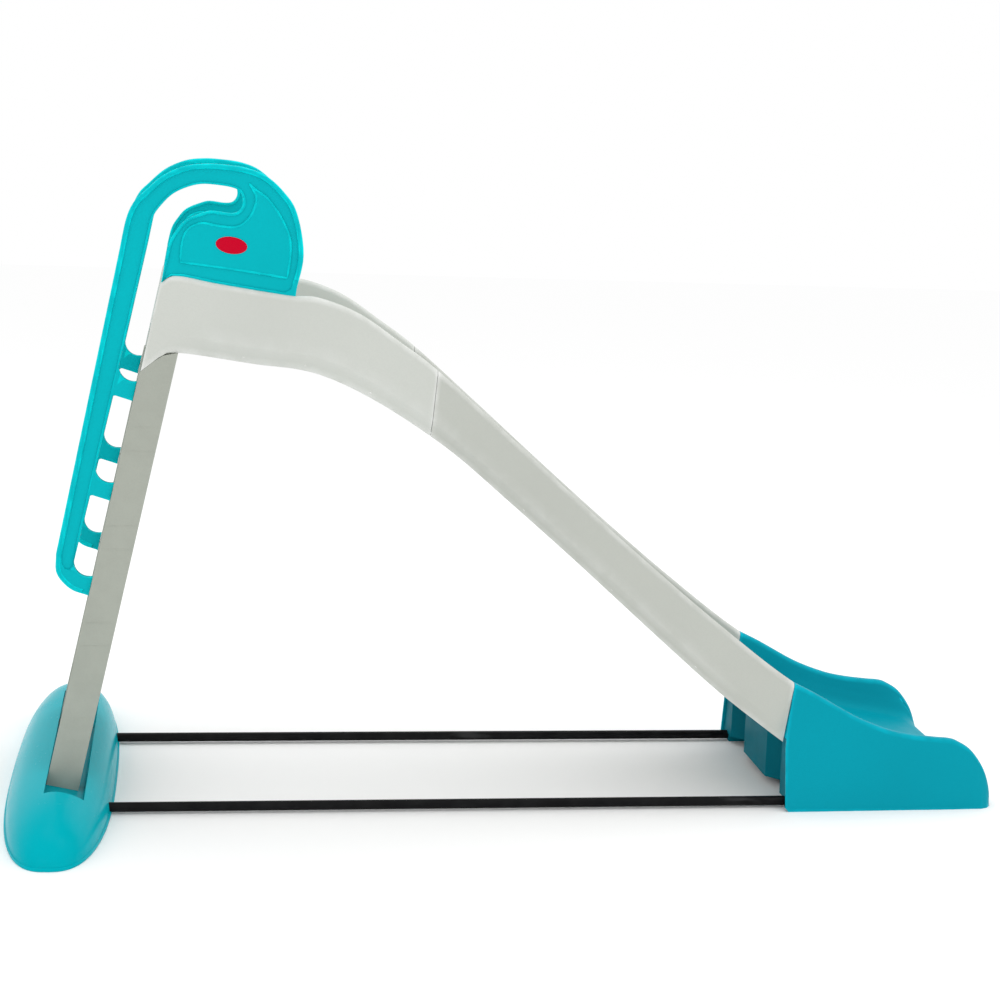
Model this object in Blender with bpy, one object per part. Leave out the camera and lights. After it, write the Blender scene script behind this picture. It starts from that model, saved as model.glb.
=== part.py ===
"""Toddler slide that comes apart for storage.

Metres, +Z up. The origin is on the ground, in the middle of the slide's footprint. The chute runs
down towards +X, the ladder stands at the -X end, and left and right are those of a child who sits
at the top and looks down the chute, so the left side is +Y.
"""

import math

import bmesh
import bpy
from mathutils import Matrix, Vector

# Whole slide
GAP = 0.0003                # clearance between pieces that touch
SKIN = 0.004                # wall of the moulded pieces
HALF_LENGTH = 0.977
HALF_WIDTH = 0.225          # outer faces of the chute's sides and of the ladder
LEAN = 0.2138               # how far the ladder leans, in X for each metre of Z
LEAN_ANGLE = math.atan(LEAN)

# Foot under the ladder
FOOT_X = -0.873
FOOT_HALF_X = 0.104
FOOT_HALF_Y = 0.55
FOOT_HEIGHT = 0.085
FOOT_PLAN_POWER = 2.7       # 2 is an ellipse, higher is squarer
FOOT_CROWN_POWER = 2.2      # the same for its cross section
FOOT_END_SLOPE = 2.2        # the ends slope this much more gently than the long sides
FOOT_LIP = 0.003            # the low flange around the base
FOOT_LIP_HIGH = 0.006
POCKET_HALF_Y = 0.355
POCKET_REAR_ROOM = 0.0017   # space behind the ladder's rails in the pocket
POCKET_FRONT_ROOM = 0.0115  # and in front of them

# Ladder
RAIL_DEEP = 0.0625          # along X
RAIL_WIDE = 0.035           # along Y
RAIL_REAR_X0 = -0.9081      # where the rail's rear edge would meet the ground
RAIL_FOOT_Z = 0.050         # middle of the rail's lower end
TREAD_PITCH = 0.186
TREAD_COUNT = 4
TREAD_THICK = 0.032
TENON_LONG = 0.016
TENON_WIDE = 0.030
TENON_HIGH = 0.018
TONGUE_Y = (0.2058, 0.2172)  # the tongue on each rail, up inside the chute's side
TONGUE_TOP = 0.925
TOP_SCREW = (-0.6938, 0.9012)

# Chute
RIM_WIDE = 0.025
RIM_ROUND = 0.006
CHANNEL_DEEP = 0.085
BAND_INSET = [(-0.660, 0.0), (-0.590, 0.012), (0.40, 0.012), (0.5610, 0.006)]  # lowest band, turned in
BAND_START = 0.77           # where that band starts, as a share of the side's height
UPPER_START = -0.6905
JOINT_X = -0.1715           # upper chute to lower chute, at the rim
END_JOINT_X = 0.5610        # lower chute to end piece, at the rim

# End piece
END_TOP_HALF_Y = 0.239      # the cheeks' rims near the exit
END_BASE_HALF_Y = 0.262
END_REAR_X = 0.5443
END_SHELF = 0.138           # the joint face leans above this height and stands upright below it
SKIRT_LOW = 0.010
SOCKET_HIGH = 0.0285

# Tubes
TUBE_R = 0.0095
TUBE_WALL = 0.0012
TUBE_Y = 0.232
TUBE_Z = 0.0128
TUBE_REAR = -0.838
TUBE_FRONT = 0.630
SOCKET_R = TUBE_R + GAP
SOCKET_HALF = 0.0145

# Handrails
PANEL_THICK = 0.018
PANEL_Y = HALF_WIDTH - RIM_WIDE / 2
PANEL_RIM = 0.011
PANEL_THIN_RIM = 0.0035
PANEL_SLOT_RIM = 0.0055
PANEL_RECESS = 0.004
PANEL_START = -0.6890
PANEL_END = -0.4420
PLUG_X = (-0.584, -0.467)
PLUG_LONG = 0.030
PLUG_THICK = 0.008
PLUG_DEEP = 0.028
BAR_Z = (0.439, 0.624, 0.812)   # where the handrail's bars meet the rail
BADGE_CENTRE = (-0.5615, 1.085)
BADGE_HALF_LONG = 0.029
BADGE_HALF_HIGH = 0.0155
BADGE_TILT = math.radians(-7)

# Fasteners
SCREW_R = 0.0022
SCREW_HEAD_R = 0.0048
BOLT_R = 0.0030
BOLT_HEAD_R = 0.0070
BOLT_DROPS = [(JOINT_X, 0.019), (END_JOINT_X, 0.0152)]  # from the channel's floor down to the bolt
ROUND_STEPS = 12

COLOURS = {
    "teal_plastic": ((0.0, 0.39, 0.44, 1.0), 0.35, 0.0),
    "teal_gloss_plastic": ((0.0, 0.44, 0.50, 1.0), 0.12, 0.0),
    "grey_plastic": ((0.62, 0.62, 0.58, 1.0), 0.45, 0.0),
    "ladder_plastic": ((0.44, 0.46, 0.42, 1.0), 0.45, 0.0),
    "black_steel": ((0.012, 0.012, 0.013, 1.0), 0.35, 0.4),
    "red_plastic": ((0.62, 0.0, 0.04, 1.0), 0.25, 0.0),
    "zinc_steel": ((0.55, 0.55, 0.56, 1.0), 0.3, 1.0),
}


def clear_scene():
    for item in list(bpy.data.objects):
        bpy.data.objects.remove(item, do_unlink=True)


def material(name):
    """One Principled material of the slide, made the first time it is asked for."""
    made = bpy.data.materials.get(name)
    if made is None:
        colour, roughness, metallic = COLOURS[name]
        made = bpy.data.materials.new(name)
        made.use_nodes = True
        shader = made.node_tree.nodes["Principled BSDF"]
        shader.inputs["Base Color"].default_value = colour
        shader.inputs["Roughness"].default_value = roughness
        shader.inputs["Metallic"].default_value = metallic
    return made


# ---------------------------------------------------------------- shapes


def make_object(name, bm, finish="grey_plastic"):
    """Turns a bmesh into an object with outward faces."""
    bmesh.ops.recalc_face_normals(bm, faces=bm.faces)
    mesh = bpy.data.meshes.new(name)
    bm.to_mesh(mesh)
    bm.free()
    thing = bpy.data.objects.new(name, mesh)
    bpy.context.scene.collection.objects.link(thing)
    mesh.materials.append(material(finish))
    return thing


def loft(rings, name="tool", finish="grey_plastic"):
    """Skins a row of closed rings that have the same number of points, and caps both ends."""
    bm = bmesh.new()
    rows = [[bm.verts.new(point) for point in ring] for ring in rings]
    for low, high in zip(rows, rows[1:]):
        for i in range(len(low)):
            j = (i + 1) % len(low)
            bm.faces.new((low[i], low[j], high[j], high[i]))
    bm.faces.new(rows[0])
    bm.faces.new(rows[-1])
    return make_object(name, bm, finish)


def prism(outline, y_low, y_high, name="tool", finish="grey_plastic"):
    """Extrudes a closed (x, z) outline along Y."""
    rings = [[(x, y, z) for x, z in outline] for y in (y_low, y_high)]
    return loft(rings, name, finish)


def block(low, high, turn=None, name="tool", finish="grey_plastic"):
    """A box between two corners, turned by a matrix if one is given."""
    base = [(low[0], low[1]), (high[0], low[1]), (high[0], high[1]), (low[0], high[1])]
    rings = [[Vector((x, y, z)) for x, y in base] for z in (low[2], high[2])]
    if turn:
        rings = [[turn @ point for point in ring] for ring in rings]
    return loft(rings, name, finish)


def turned(profile, start, direction, name="tool", finish="zinc_steel", steps=ROUND_STEPS):
    """A turned piece: (radius, distance) pairs along direction from start, closed at both ends."""
    aim = Vector(direction).normalized().to_track_quat("Z", "Y").to_matrix()
    turns = [math.tau * (i + 0.5) / steps for i in range(steps)]
    rings = [
        [Vector(start) + aim @ Vector((r * math.cos(a), r * math.sin(a), d)) for a in turns]
        for r, d in profile
    ]
    return loft(rings, name, finish)


def combine(base, tool, how):
    """Applies a Boolean of tool on base and removes the tool."""
    step = base.modifiers.new("step", "BOOLEAN")
    step.operation = how
    step.solver = "EXACT"
    step.object = tool
    graph = bpy.context.evaluated_depsgraph_get()
    result = bpy.data.meshes.new_from_object(base.evaluated_get(graph))
    base.modifiers.clear()
    old = base.data
    base.data = result
    bpy.data.meshes.remove(old)
    bpy.data.objects.remove(tool, do_unlink=True)


def cut(base, tool):
    combine(base, tool, "DIFFERENCE")


def add(base, tool):
    combine(base, tool, "UNION")


def tidy(thing, angle=35):
    """Drops the slivers that Booleans leave and shades the piece smooth between its edges."""
    bm = bmesh.new()
    bm.from_mesh(thing.data)
    bmesh.ops.dissolve_degenerate(bm, edges=bm.edges, dist=0.00001)
    bm.to_mesh(thing.data)
    bm.free()
    thing.data.shade_smooth()
    thing.data.set_sharp_from_angle(angle=math.radians(angle))
    return thing


# ---------------------------------------------------------------- curves


def spline(points, steps):
    """A smooth curve through points, with steps pieces between neighbours."""
    ends = [2 * Vector(points[0]) - Vector(points[1]), 2 * Vector(points[-1]) - Vector(points[-2])]
    row = [ends[0]] + [Vector(p) for p in points] + [ends[1]]
    curve = []
    for before, start, stop, after in zip(row, row[1:], row[2:], row[3:]):
        for i in range(steps):
            t = i / steps
            curve.append(0.5 * (
                2 * start + (stop - before) * t
                + (2 * before - 5 * start + 4 * stop - after) * t ** 2
                + (3 * start - before - 3 * stop + after) * t ** 3
            ))
    curve.append(Vector(points[-1]))
    return curve


def height_at(curve, x):
    """Height of a curve of (x, z) points at x."""
    for start, stop in zip(curve, curve[1:]):
        if x <= stop.x:
            share = (x - start.x) / (stop.x - start.x)
            return start.y + share * (stop.y - start.y)
    return curve[-1].y


def blend(x, marks):
    """Straight interpolation through (x, value) marks."""
    for (x0, v0), (x1, v1) in zip(marks, marks[1:]):
        if x <= x1:
            return v0 + (v1 - v0) * max(0.0, (x - x0) / (x1 - x0))
    return marks[-1][1]


RIM_LINE = spline([
    (-0.690, 1.013), (-0.6615, 1.027), (-0.5815, 1.014), (-0.4525, 0.996), (-0.3975, 0.992),
    (-0.3215, 0.964), (-0.2455, 0.914), (-0.1715, 0.861), (-0.0455, 0.752), (0.0905, 0.632),
    (0.2445, 0.499), (0.4005, 0.371), (0.5555, 0.255), (0.680, 0.190),
], 6)
BOTTOM_LINE = spline([
    (-0.7265, 0.848), (-0.7075, 0.863), (-0.6855, 0.879), (-0.6565, 0.884), (-0.5165, 0.865),
    (-0.4315, 0.856), (-0.3675, 0.838), (-0.2915, 0.802), (-0.2145, 0.756), (-0.1295, 0.697),
    (-0.0305, 0.614), (0.0955, 0.506), (0.1985, 0.415), (0.3035, 0.322), (0.4035, 0.236),
    (0.4835, 0.175), (0.5445, 0.131), (0.600, 0.095),
], 6)
UPPER_PLACES = [
    UPPER_START, -0.680, -0.669, -0.656, -0.634, -0.600, -0.555, -0.505, -0.4525, -0.420, -0.390,
    -0.360, -0.330, -0.295, -0.260, -0.215, JOINT_X - GAP,
]
FACE_LEAN = [(-0.69, 0.21), (-0.345, 0.079), (0.155, 0.079), (0.5555, 0.146), (0.6, 0.146)]


# ---------------------------------------------------------------- chute


def side_height(x):
    """Height of the chute's side below the rim at x, measured along its leaning end face."""
    rim = height_at(RIM_LINE, x)
    lean = blend(x, FACE_LEAN)
    high = 0.135
    for _ in range(12):
        high = rim - height_at(BOTTOM_LINE, x - lean * high)
    return high


def rim_and_channel(wide, deep, rounding=RIM_ROUND, fillet=0.034):
    """The rim and half the channel as (y, depth), from the rim's outer edge to the middle."""
    inner = wide - RIM_WIDE
    soft = rounding * (1 - math.sqrt(0.5))
    return [
        (wide, rounding), (wide - soft, soft), (wide - rounding, 0.0), (inner + rounding, 0.0),
        (inner + soft, soft), (inner, rounding), (inner - 0.004, deep - fillet),
        (inner - 0.012, deep - fillet * 0.35), (inner - 0.032, deep - 0.001), (0.0, deep + 0.002),
    ]


def chute_half(x, share=1.0):
    """Half the chute's outer skin at x, its side cut off at a share of its height."""
    high = side_height(x)
    lowest = [(HALF_WIDTH - blend(x, BAND_INSET), high), (HALF_WIDTH, high * BAND_START)]
    if share < 1.0:
        turn_in = blend(x, BAND_INSET) * (share - BAND_START) / (1 - BAND_START)
        lowest[0] = (HALF_WIDTH - turn_in, high * share)
    return lowest + rim_and_channel(HALF_WIDTH, CHANNEL_DEEP)


def mirrored(half):
    """A whole section from its left half, which ends on the middle line."""
    return half + [(-y, d) for y, d in reversed(half[:-1])]


def under(path, by):
    """An open (y, depth) path moved to the side that lies under the skin."""
    moved = []
    for i, point in enumerate(path):
        here = Vector(point)
        before = Vector(path[max(i - 1, 0)])
        after = Vector(path[min(i + 1, len(path) - 1)])
        normals = [
            Vector((-(b - a).y, (b - a).x)).normalized()
            for a, b in ((before, here), (here, after)) if (b - a).length > 0
        ]
        middle = sum(normals, Vector((0, 0))).normalized()
        moved.append(tuple(here - middle * by / max(middle.dot(normals[0]), 0.5)))
    return moved


def on_face(x, points, shift=0.0):
    """Places (y, depth) points on the leaning cross plane whose rim is at x."""
    rim = height_at(RIM_LINE, x)
    lean = blend(x, FACE_LEAN)
    return [(x - lean * d + shift, y, rim - d) for y, d in points]


def chute_shell(name, places):
    """The moulded trough through a row of rim positions, open underneath."""
    rings = []
    for x in places:
        path = mirrored(chute_half(x))
        rings.append(on_face(x, path + under(path, SKIN)[::-1]))
    return loft(rings, name, "grey_plastic")


def rim_top(x):
    """Height of the upper chute's rim as it is built, straight between its sections."""
    return blend(x, [(place, height_at(RIM_LINE, place)) for place in UPPER_PLACES])


def upper_underside(x_limit):
    """The lower edge of the upper chute's side as it is built, (x, z), from the ladder end on."""
    edge = [on_face(place, [(HALF_WIDTH, side_height(place))])[0] for place in UPPER_PLACES]
    return [(x, z) for x, _, z in edge if x < x_limit]


def cross_wall(x, share, thick=SKIN):
    """A wall across the chute's underside, from the skin down to a share of the side's height."""
    path = under(mirrored(chute_half(x, share)), SKIN / 2)
    return loft([on_face(x, path), on_face(x, path, thick)])


def bolt_place(x, side, off=0.0):
    """A point on the bolt that crosses the joint at rim position x, and the bolt's direction."""
    lean = blend(x, FACE_LEAN)
    deep = CHANNEL_DEEP + blend(x, BOLT_DROPS)
    along = Vector((1.0, 0.0, -lean)).normalized()
    point = Vector((x - lean * deep, side * 0.125, height_at(RIM_LINE, x) - deep))
    return point + along * off, along


def bolt_hole(x, side):
    start, along = bolt_place(x, side, -0.02)
    return turned([(BOLT_R + GAP, 0.0), (BOLT_R + GAP, 0.04)], start, along)


def plug(x, side, grow, above):
    """A flat plug under the handrail's panel, or with grow the slot for it in the rim."""
    top = rim_top(x) + above
    low = rim_top(x) - PLUG_DEEP - grow
    half = PLUG_THICK / 2 + grow
    y = side * PANEL_Y
    return block((x - PLUG_LONG / 2 - grow, y - half, low), (x + PLUG_LONG / 2 + grow, y + half, top))


def platform_apron():
    """Closes the underside at the ladder end, between the rails' tongues."""
    corners = [(-0.19, CHANNEL_DEEP), (0.19, CHANNEL_DEEP), (0.19, 0.128), (-0.19, 0.128)]
    x = UPPER_START + 0.004
    return loft([on_face(x, corners), on_face(x, corners, SKIN)])


def top_screw_hole(side, reach):
    x, z = TOP_SCREW
    start = (x, side * 0.195, z)
    return turned([(SCREW_R + GAP, 0.0), (SCREW_R + GAP, reach - 0.195)], start, (0, side, 0))


def upper_chute():
    joint = JOINT_X - GAP
    shell = chute_shell("upper_chute", UPPER_PLACES)
    for x in (-0.52, -0.41, -0.29, joint - SKIN):
        add(shell, cross_wall(x, 0.93))
    add(shell, platform_apron())
    for side in (-1, 1):
        cut(shell, bolt_hole(JOINT_X, side))
        cut(shell, top_screw_hole(side, 0.2238))
        for x in PLUG_X:
            cut(shell, plug(x, side, 0.0004, 0.02))
    return tidy(shell)


def lower_chute():
    joint = JOINT_X + GAP
    last = END_JOINT_X - GAP
    steps = 12
    shell = chute_shell("lower_chute", [joint + (last - joint) * i / steps for i in range(steps + 1)])
    for x in (joint, 0.01, 0.19, 0.37, last - SKIN):
        add(shell, cross_wall(x, 0.93))
    for side in (-1, 1):
        cut(shell, bolt_hole(JOINT_X, side))
        cut(shell, bolt_hole(END_JOINT_X, side))
    return tidy(shell)


# ---------------------------------------------------------------- end piece

END_RIM = spline([
    (0.5443, 0.2606), (0.609, 0.228), (0.690, 0.184), (0.757, 0.158), (0.806, 0.147),
    (0.855, 0.141), (0.888, 0.138), (0.906, 0.132), (0.931, 0.114), (0.957, 0.079),
    (0.972, 0.040), (HALF_LENGTH, 0.012),
], 2)
END_FLOOR = [(0.5555, 0.170), (0.64, 0.128), (0.72, 0.100), (0.807, 0.080), (0.885, 0.066), (0.935, 0.057)]
END_ROLL = 0.935            # where the floor starts to roll down at the exit
END_NOSE = 0.008            # height of the floor's rolled front edge


def end_floor(x):
    """Height of the sliding surface, which rolls down to the ground at the exit."""
    if x <= END_ROLL:
        return blend(x, END_FLOOR)
    share = (x - END_ROLL) / (HALF_LENGTH - END_ROLL)
    return END_NOSE + (END_FLOOR[-1][1] - END_NOSE) * math.sqrt(max(0.0, 1 - share ** 2))


def end_half(point):
    """Half the end piece's skin as (y, height), from the ground to the middle."""
    rim = point.y
    top = blend(point.x, [(END_JOINT_X, HALF_WIDTH), (0.75, END_TOP_HALF_Y)])
    rounding = min(RIM_ROUND, rim * 0.3)
    deep = max(rim - end_floor(point.x), rounding * 1.2)
    half = rim_and_channel(top, deep, rounding, min(0.034, deep * 0.6))
    flare = [(END_BASE_HALF_Y, 0.0), (top + (END_BASE_HALF_Y - top) * 0.42, rim * 0.5)]
    return flare + [(y, rim - d) for y, d in half]


def end_section(point, wall, lowest):
    """A whole section of the end piece at one rim point, or with a wall the space under its skin."""
    path = mirrored(end_half(point))
    if wall:
        path = under(path, -wall)
    path = [(path[0][0], lowest)] + path[1:-1] + [(path[-1][0], lowest)]
    return [(point.x, y, max(z, lowest)) for y, z in path]


def corrugated_skirt():
    """The rear skirt, folded in plan so that a thin wall stands stiff."""
    ridge, groove = END_REAR_X + 0.006, END_REAR_X + 0.032
    marks = [(0.30, ridge), (0.190, ridge), (0.165, groove), (0.105, groove), (0.080, ridge)]
    line = marks + [(-y, x) for y, x in reversed(marks)]
    outline = [(x, y) for y, x in line] + [(x + SKIN, y) for y, x in reversed(line)]
    return loft([[(x, y, z) for x, y in outline] for z in (SKIRT_LOW, END_SHELF + 0.003)])


def end_inner_walls():
    """Bulkhead behind the joint, the shelf below it and the front wall inside the nose."""
    lean = FACE_LEAN[-1][1]
    rear, front, top = END_REAR_X - 0.010, END_REAR_X + SKIN + GAP, 0.30
    low = END_SHELF + 0.0025
    rise = lean * (top - low)
    slab = [(rear, low), (front, low), (front + rise, top), (rear + rise, top)]
    return [
        prism(slab, -0.30, 0.30),
        block((rear, -0.30, END_SHELF + 0.0015), (END_REAR_X + 0.037, 0.30, END_SHELF + SKIN)),
        corrugated_skirt(),
    ]


def tube_socket(x_low, x_high, side, reach):
    """The block inside a moulding that holds a tube's end; reach is its side towards the wall."""
    near, far = sorted((side * (TUBE_Y - SOCKET_HALF), side * reach))
    return block((x_low, near, GAP), (x_high, far, SOCKET_HIGH))


def tube_hole(side, x_low, x_high):
    return turned([(SOCKET_R, 0.0), (SOCKET_R, x_high - x_low)], (x_low, side * TUBE_Y, TUBE_Z), (1, 0, 0),
                  steps=16)


def tube_screw_hole(x, side):
    start = (x, side * TUBE_Y, TUBE_Z + 0.003)
    return turned([(SCREW_R + GAP, 0.0), (SCREW_R + GAP, 0.02)], start, (0, 0, 1))


def end_piece():
    rings = [end_section(p, 0.0, 0.0) for p in END_RIM]
    rings[0] = [(x + GAP, y, z) for x, y, z in rings[0]]
    shell = loft(rings, "end_piece", "teal_plastic")
    inner = [p for p in END_RIM if p.x < HALF_LENGTH - 0.015]
    hollow = [end_section(p, SKIN, -0.01) for p in inner]
    hollow.insert(0, [(x - 0.02, y, z) for x, y, z in hollow[0]])
    void = loft(hollow)
    for wall in end_inner_walls():
        cut(void, wall)
    for side in (-1, 1):
        cut(void, tube_socket(END_REAR_X + 0.008, TUBE_FRONT + 0.010, side, 0.30))
    cut(shell, void)
    rear, lean = END_REAR_X + GAP, FACE_LEAN[-1][1]
    wedge = [(0.45, END_SHELF - 0.04), (rear - lean * 0.04, END_SHELF - 0.04)]
    wedge += [(rear + lean * 0.2, END_SHELF + 0.2), (0.45, END_SHELF + 0.2)]
    cut(shell, prism(wedge, -0.4, 0.4))
    for side in (-1, 1):
        cut(shell, tube_hole(side, END_REAR_X - 0.02, TUBE_FRONT + GAP))
        cut(shell, tube_screw_hole(TUBE_SCREW_FRONT, side))
        cut(shell, bolt_hole(END_JOINT_X, side))
    return tidy(shell)


# ---------------------------------------------------------------- foot


def foot_ring(inset, z, half_x, half_y, count=36):
    """One level of the foot: an oval pulled in by inset, and more at its two ends."""
    ring = []
    for i in range(count):
        turn = math.tau * (i + 0.5) / count
        c, s = math.cos(turn), math.sin(turn)
        x = math.copysign(abs(c) ** (2 / FOOT_PLAN_POWER), c)
        y = math.copysign(abs(s) ** (2 / FOOT_PLAN_POWER), s)
        ring.append((FOOT_X + x * (half_x - inset), y * (half_y - inset * FOOT_END_SLOPE), z))
    return ring


def foot_dome(wall, lowest):
    """The foot as a solid dome; with a wall, the space under its skin."""
    half_x = FOOT_HALF_X - FOOT_LIP - wall
    half_y = FOOT_HALF_Y - FOOT_LIP - wall
    rings = [foot_ring(0.0, lowest, half_x, half_y)]
    for i in range(1, 9):
        turn = math.radians(10 * i)
        inset = half_x * (1 - math.cos(turn) ** (2 / FOOT_CROWN_POWER))
        z = (FOOT_HEIGHT - wall) * math.sin(turn) ** (2 / FOOT_CROWN_POWER)
        rings.append(foot_ring(inset, z, half_x, half_y))
    return rings


def foot_solid():
    lip = [foot_ring(0.0, z, FOOT_HALF_X, FOOT_HALF_Y) for z in (0.0, FOOT_LIP_HIGH)]
    return loft(lip + foot_dome(0.0, FOOT_LIP_HIGH + 0.0008), "base_foot", "teal_gloss_plastic")


def ladder_matrix():
    """The ladder's own frame: origin at the middle of a rail's lower end, Z up the rail."""
    middle = RAIL_REAR_X0 + LEAN * RAIL_FOOT_Z + RAIL_DEEP / 2
    return Matrix.Translation((middle, 0.0, RAIL_FOOT_Z)) @ Matrix.Rotation(LEAN_ANGLE, 4, "Y")


RAIL_HALF = RAIL_DEEP / 2 * math.cos(LEAN_ANGLE)


def pocket(wall, floor):
    """The ladder's pocket in the foot, or with a wall the block around it."""
    low = (-RAIL_HALF - POCKET_REAR_ROOM - wall, -POCKET_HALF_Y - wall, floor)
    high = (RAIL_HALF + POCKET_FRONT_ROOM + wall, POCKET_HALF_Y + wall, 0.10)
    return block(low, high, ladder_matrix())


def foot_screw_hole(side, low, high):
    matrix = ladder_matrix()
    start = matrix @ Vector((0.0, side * FOOT_SCREW_Y, low))
    along = matrix.to_3x3() @ Vector((0, 0, 1))
    return turned([(SCREW_R + GAP, 0.0), (SCREW_R + GAP, high - low)], start, along)


def base_foot():
    shell = foot_solid()
    void = loft(foot_dome(SKIN, -0.01))
    cut(void, pocket(SKIN, -SKIN - GAP))
    for y in (-0.42, 0.42):
        cut(void, block((FOOT_X - 0.2, y - SKIN / 2, GAP), (FOOT_X + 0.2, y + SKIN / 2, 0.2)))
    for side in (-1, 1):
        cut(void, tube_socket(TUBE_REAR - 0.010, FOOT_X + 0.2, side, TUBE_Y + SOCKET_HALF))
    cut(shell, void)
    cut(shell, pocket(0.0, -GAP))
    for side in (-1, 1):
        cut(shell, tube_hole(side, TUBE_REAR - GAP, FOOT_X + 0.2))
        cut(shell, tube_screw_hole(TUBE_SCREW_REAR, side))
        cut(shell, foot_screw_hole(side, -0.03, 0.01))
    return tidy(shell)


def tie_tube(name, side):
    start = (TUBE_REAR, side * TUBE_Y, TUBE_Z)
    reach = TUBE_FRONT - TUBE_REAR
    tube = turned([(TUBE_R, 0.0), (TUBE_R, reach)], start, (1, 0, 0), name, "black_steel", 16)
    inside = (TUBE_REAR - 0.01, side * TUBE_Y, TUBE_Z)
    cut(tube, turned([(TUBE_R - TUBE_WALL, 0.0), (TUBE_R - TUBE_WALL, reach + 0.02)], inside, (1, 0, 0),
                     steps=16))
    for x in (TUBE_SCREW_REAR, TUBE_SCREW_FRONT):
        cut(tube, tube_screw_hole(x, side))
    return tidy(tube)


# ---------------------------------------------------------------- ladder


def rail_rear(z):
    """X of the rails' rear edge at height z."""
    return RAIL_REAR_X0 + LEAN * z


def tread_top(number):
    return TREAD_PITCH * number


def tenon(number, side, grow):
    """The end of a tread that goes into the rail, or with grow its slot."""
    top = tread_top(number) - 0.007
    x = rail_rear(tread_top(number) - TREAD_THICK / 2) + RAIL_DEEP / 2
    inner = HALF_WIDTH - RAIL_WIDE
    ends = sorted((side * (inner - 0.004), side * (inner + TENON_LONG + grow)))
    return block((x - TENON_WIDE / 2 - grow, ends[0], top - TENON_HIGH - grow),
                 (x + TENON_WIDE / 2 + grow, ends[1], top + grow))


def handrail_screw_place(z, side, off=0.0):
    """A point on a handrail screw, off along it from the rail's rear face, and its direction."""
    along = Vector((-math.cos(LEAN_ANGLE), 0.0, math.sin(LEAN_ANGLE)))
    return Vector((rail_rear(z), side * PANEL_Y, z)) + along * off, along


def handrail_screw_hole(z, side, low, high):
    start, along = handrail_screw_place(z, side, low)
    return turned([(SCREW_R + GAP, 0.0), (SCREW_R + GAP, high - low)], start, along)


def ladder_rail(name, side):
    """A moulded channel, open to the inside, with blocks where the treads plug in."""
    matrix = ladder_matrix()
    feet = [matrix @ Vector((x, 0, 0)) for x in (RAIL_HALF, -RAIL_HALF)]
    high = 0.90
    outline = [(p.x, p.z) for p in feet] + [(rail_rear(high), high), (rail_rear(high) + RAIL_DEEP, high)]
    inner, outer = HALF_WIDTH - RAIL_WIDE, HALF_WIDTH
    rail = prism(outline, *sorted((side * inner, side * outer)), name, "ladder_plastic")
    seam = [(x, z - 0.0004) for x, z in upper_underside(-0.62)]
    over = [(-0.80, seam[0][1])] + seam + [(seam[-1][0], 1.0), (-0.80, 1.0)]
    cut(rail, prism(over, *sorted((side * (inner - 0.05), side * (outer + 0.05)))))
    base = [(rail_rear(0.80) + 0.010, 0.80), (rail_rear(0.80) + 0.050, 0.80)]
    top = [(rail_rear(TONGUE_TOP) + 0.048, TONGUE_TOP), (rail_rear(TONGUE_TOP) + 0.016, TONGUE_TOP)]
    add(rail, prism(base + top, *sorted((side * TONGUE_Y[0], side * TONGUE_Y[1]))))
    bay_low = 0.014
    marks = [(tread_top(n) - RAIL_FOOT_Z) / math.cos(LEAN_ANGLE) for n in range(1, TREAD_COUNT + 1)]
    for mark in marks + [0.856]:
        bay_high = mark - (0.044 if mark in marks else 0.046)
        y_low, y_high = sorted((side * (inner - 0.01), side * (outer - SKIN)))
        bay = block((-RAIL_HALF + SKIN, y_low, bay_low), (RAIL_HALF - SKIN, y_high, bay_high), matrix)
        cut(rail, bay)
        bay_low = mark + 0.010
    for number in range(1, TREAD_COUNT + 1):
        cut(rail, tenon(number, side, GAP))
    for z in BAR_Z:
        cut(rail, handrail_screw_hole(z, side, -0.012, 0.004))
    cut(rail, foot_screw_hole(side, -0.004, 0.013))
    cut(rail, top_screw_hole(side, 0.2238))
    return tidy(rail)


def ladder_tread(number):
    """A step: rounded front and rear edges, grip grooves on top, hollow underneath."""
    top = tread_top(number)
    rear = rail_rear(top) + 0.001
    front = rail_rear(top - TREAD_THICK) + RAIL_DEEP - 0.001
    low = top - TREAD_THICK
    r = 0.005
    outline = [(rear, low), (rear, top - r), (rear + r * 0.3, top - r * 0.3), (rear + r, top)]
    outline += [(front - r, top), (front - r * 0.3, top - r * 0.3), (front, top - r), (front, low)]
    half = HALF_WIDTH - RAIL_WIDE - GAP
    tread = prism(outline, -half, half, f"ladder_tread_{number}", "ladder_plastic")
    for i in range(4):
        x = rear + 0.011 + i * 0.0095
        cut(tread, block((x - 0.0012, -half + 0.02, top - 0.0012), (x + 0.0012, half - 0.02, top + 0.01)))
    for i in range(3):
        y = (i - 1) * (2 * half / 3)
        reach = half / 3 - 0.006
        cut(tread, block((rear + SKIN, y - reach, low - 0.01), (front - SKIN, y + reach, top - 0.006)))
    for side in (-1, 1):
        add(tread, tenon(number, side, 0.0))
    return tidy(tread)


# ---------------------------------------------------------------- handrails

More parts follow.
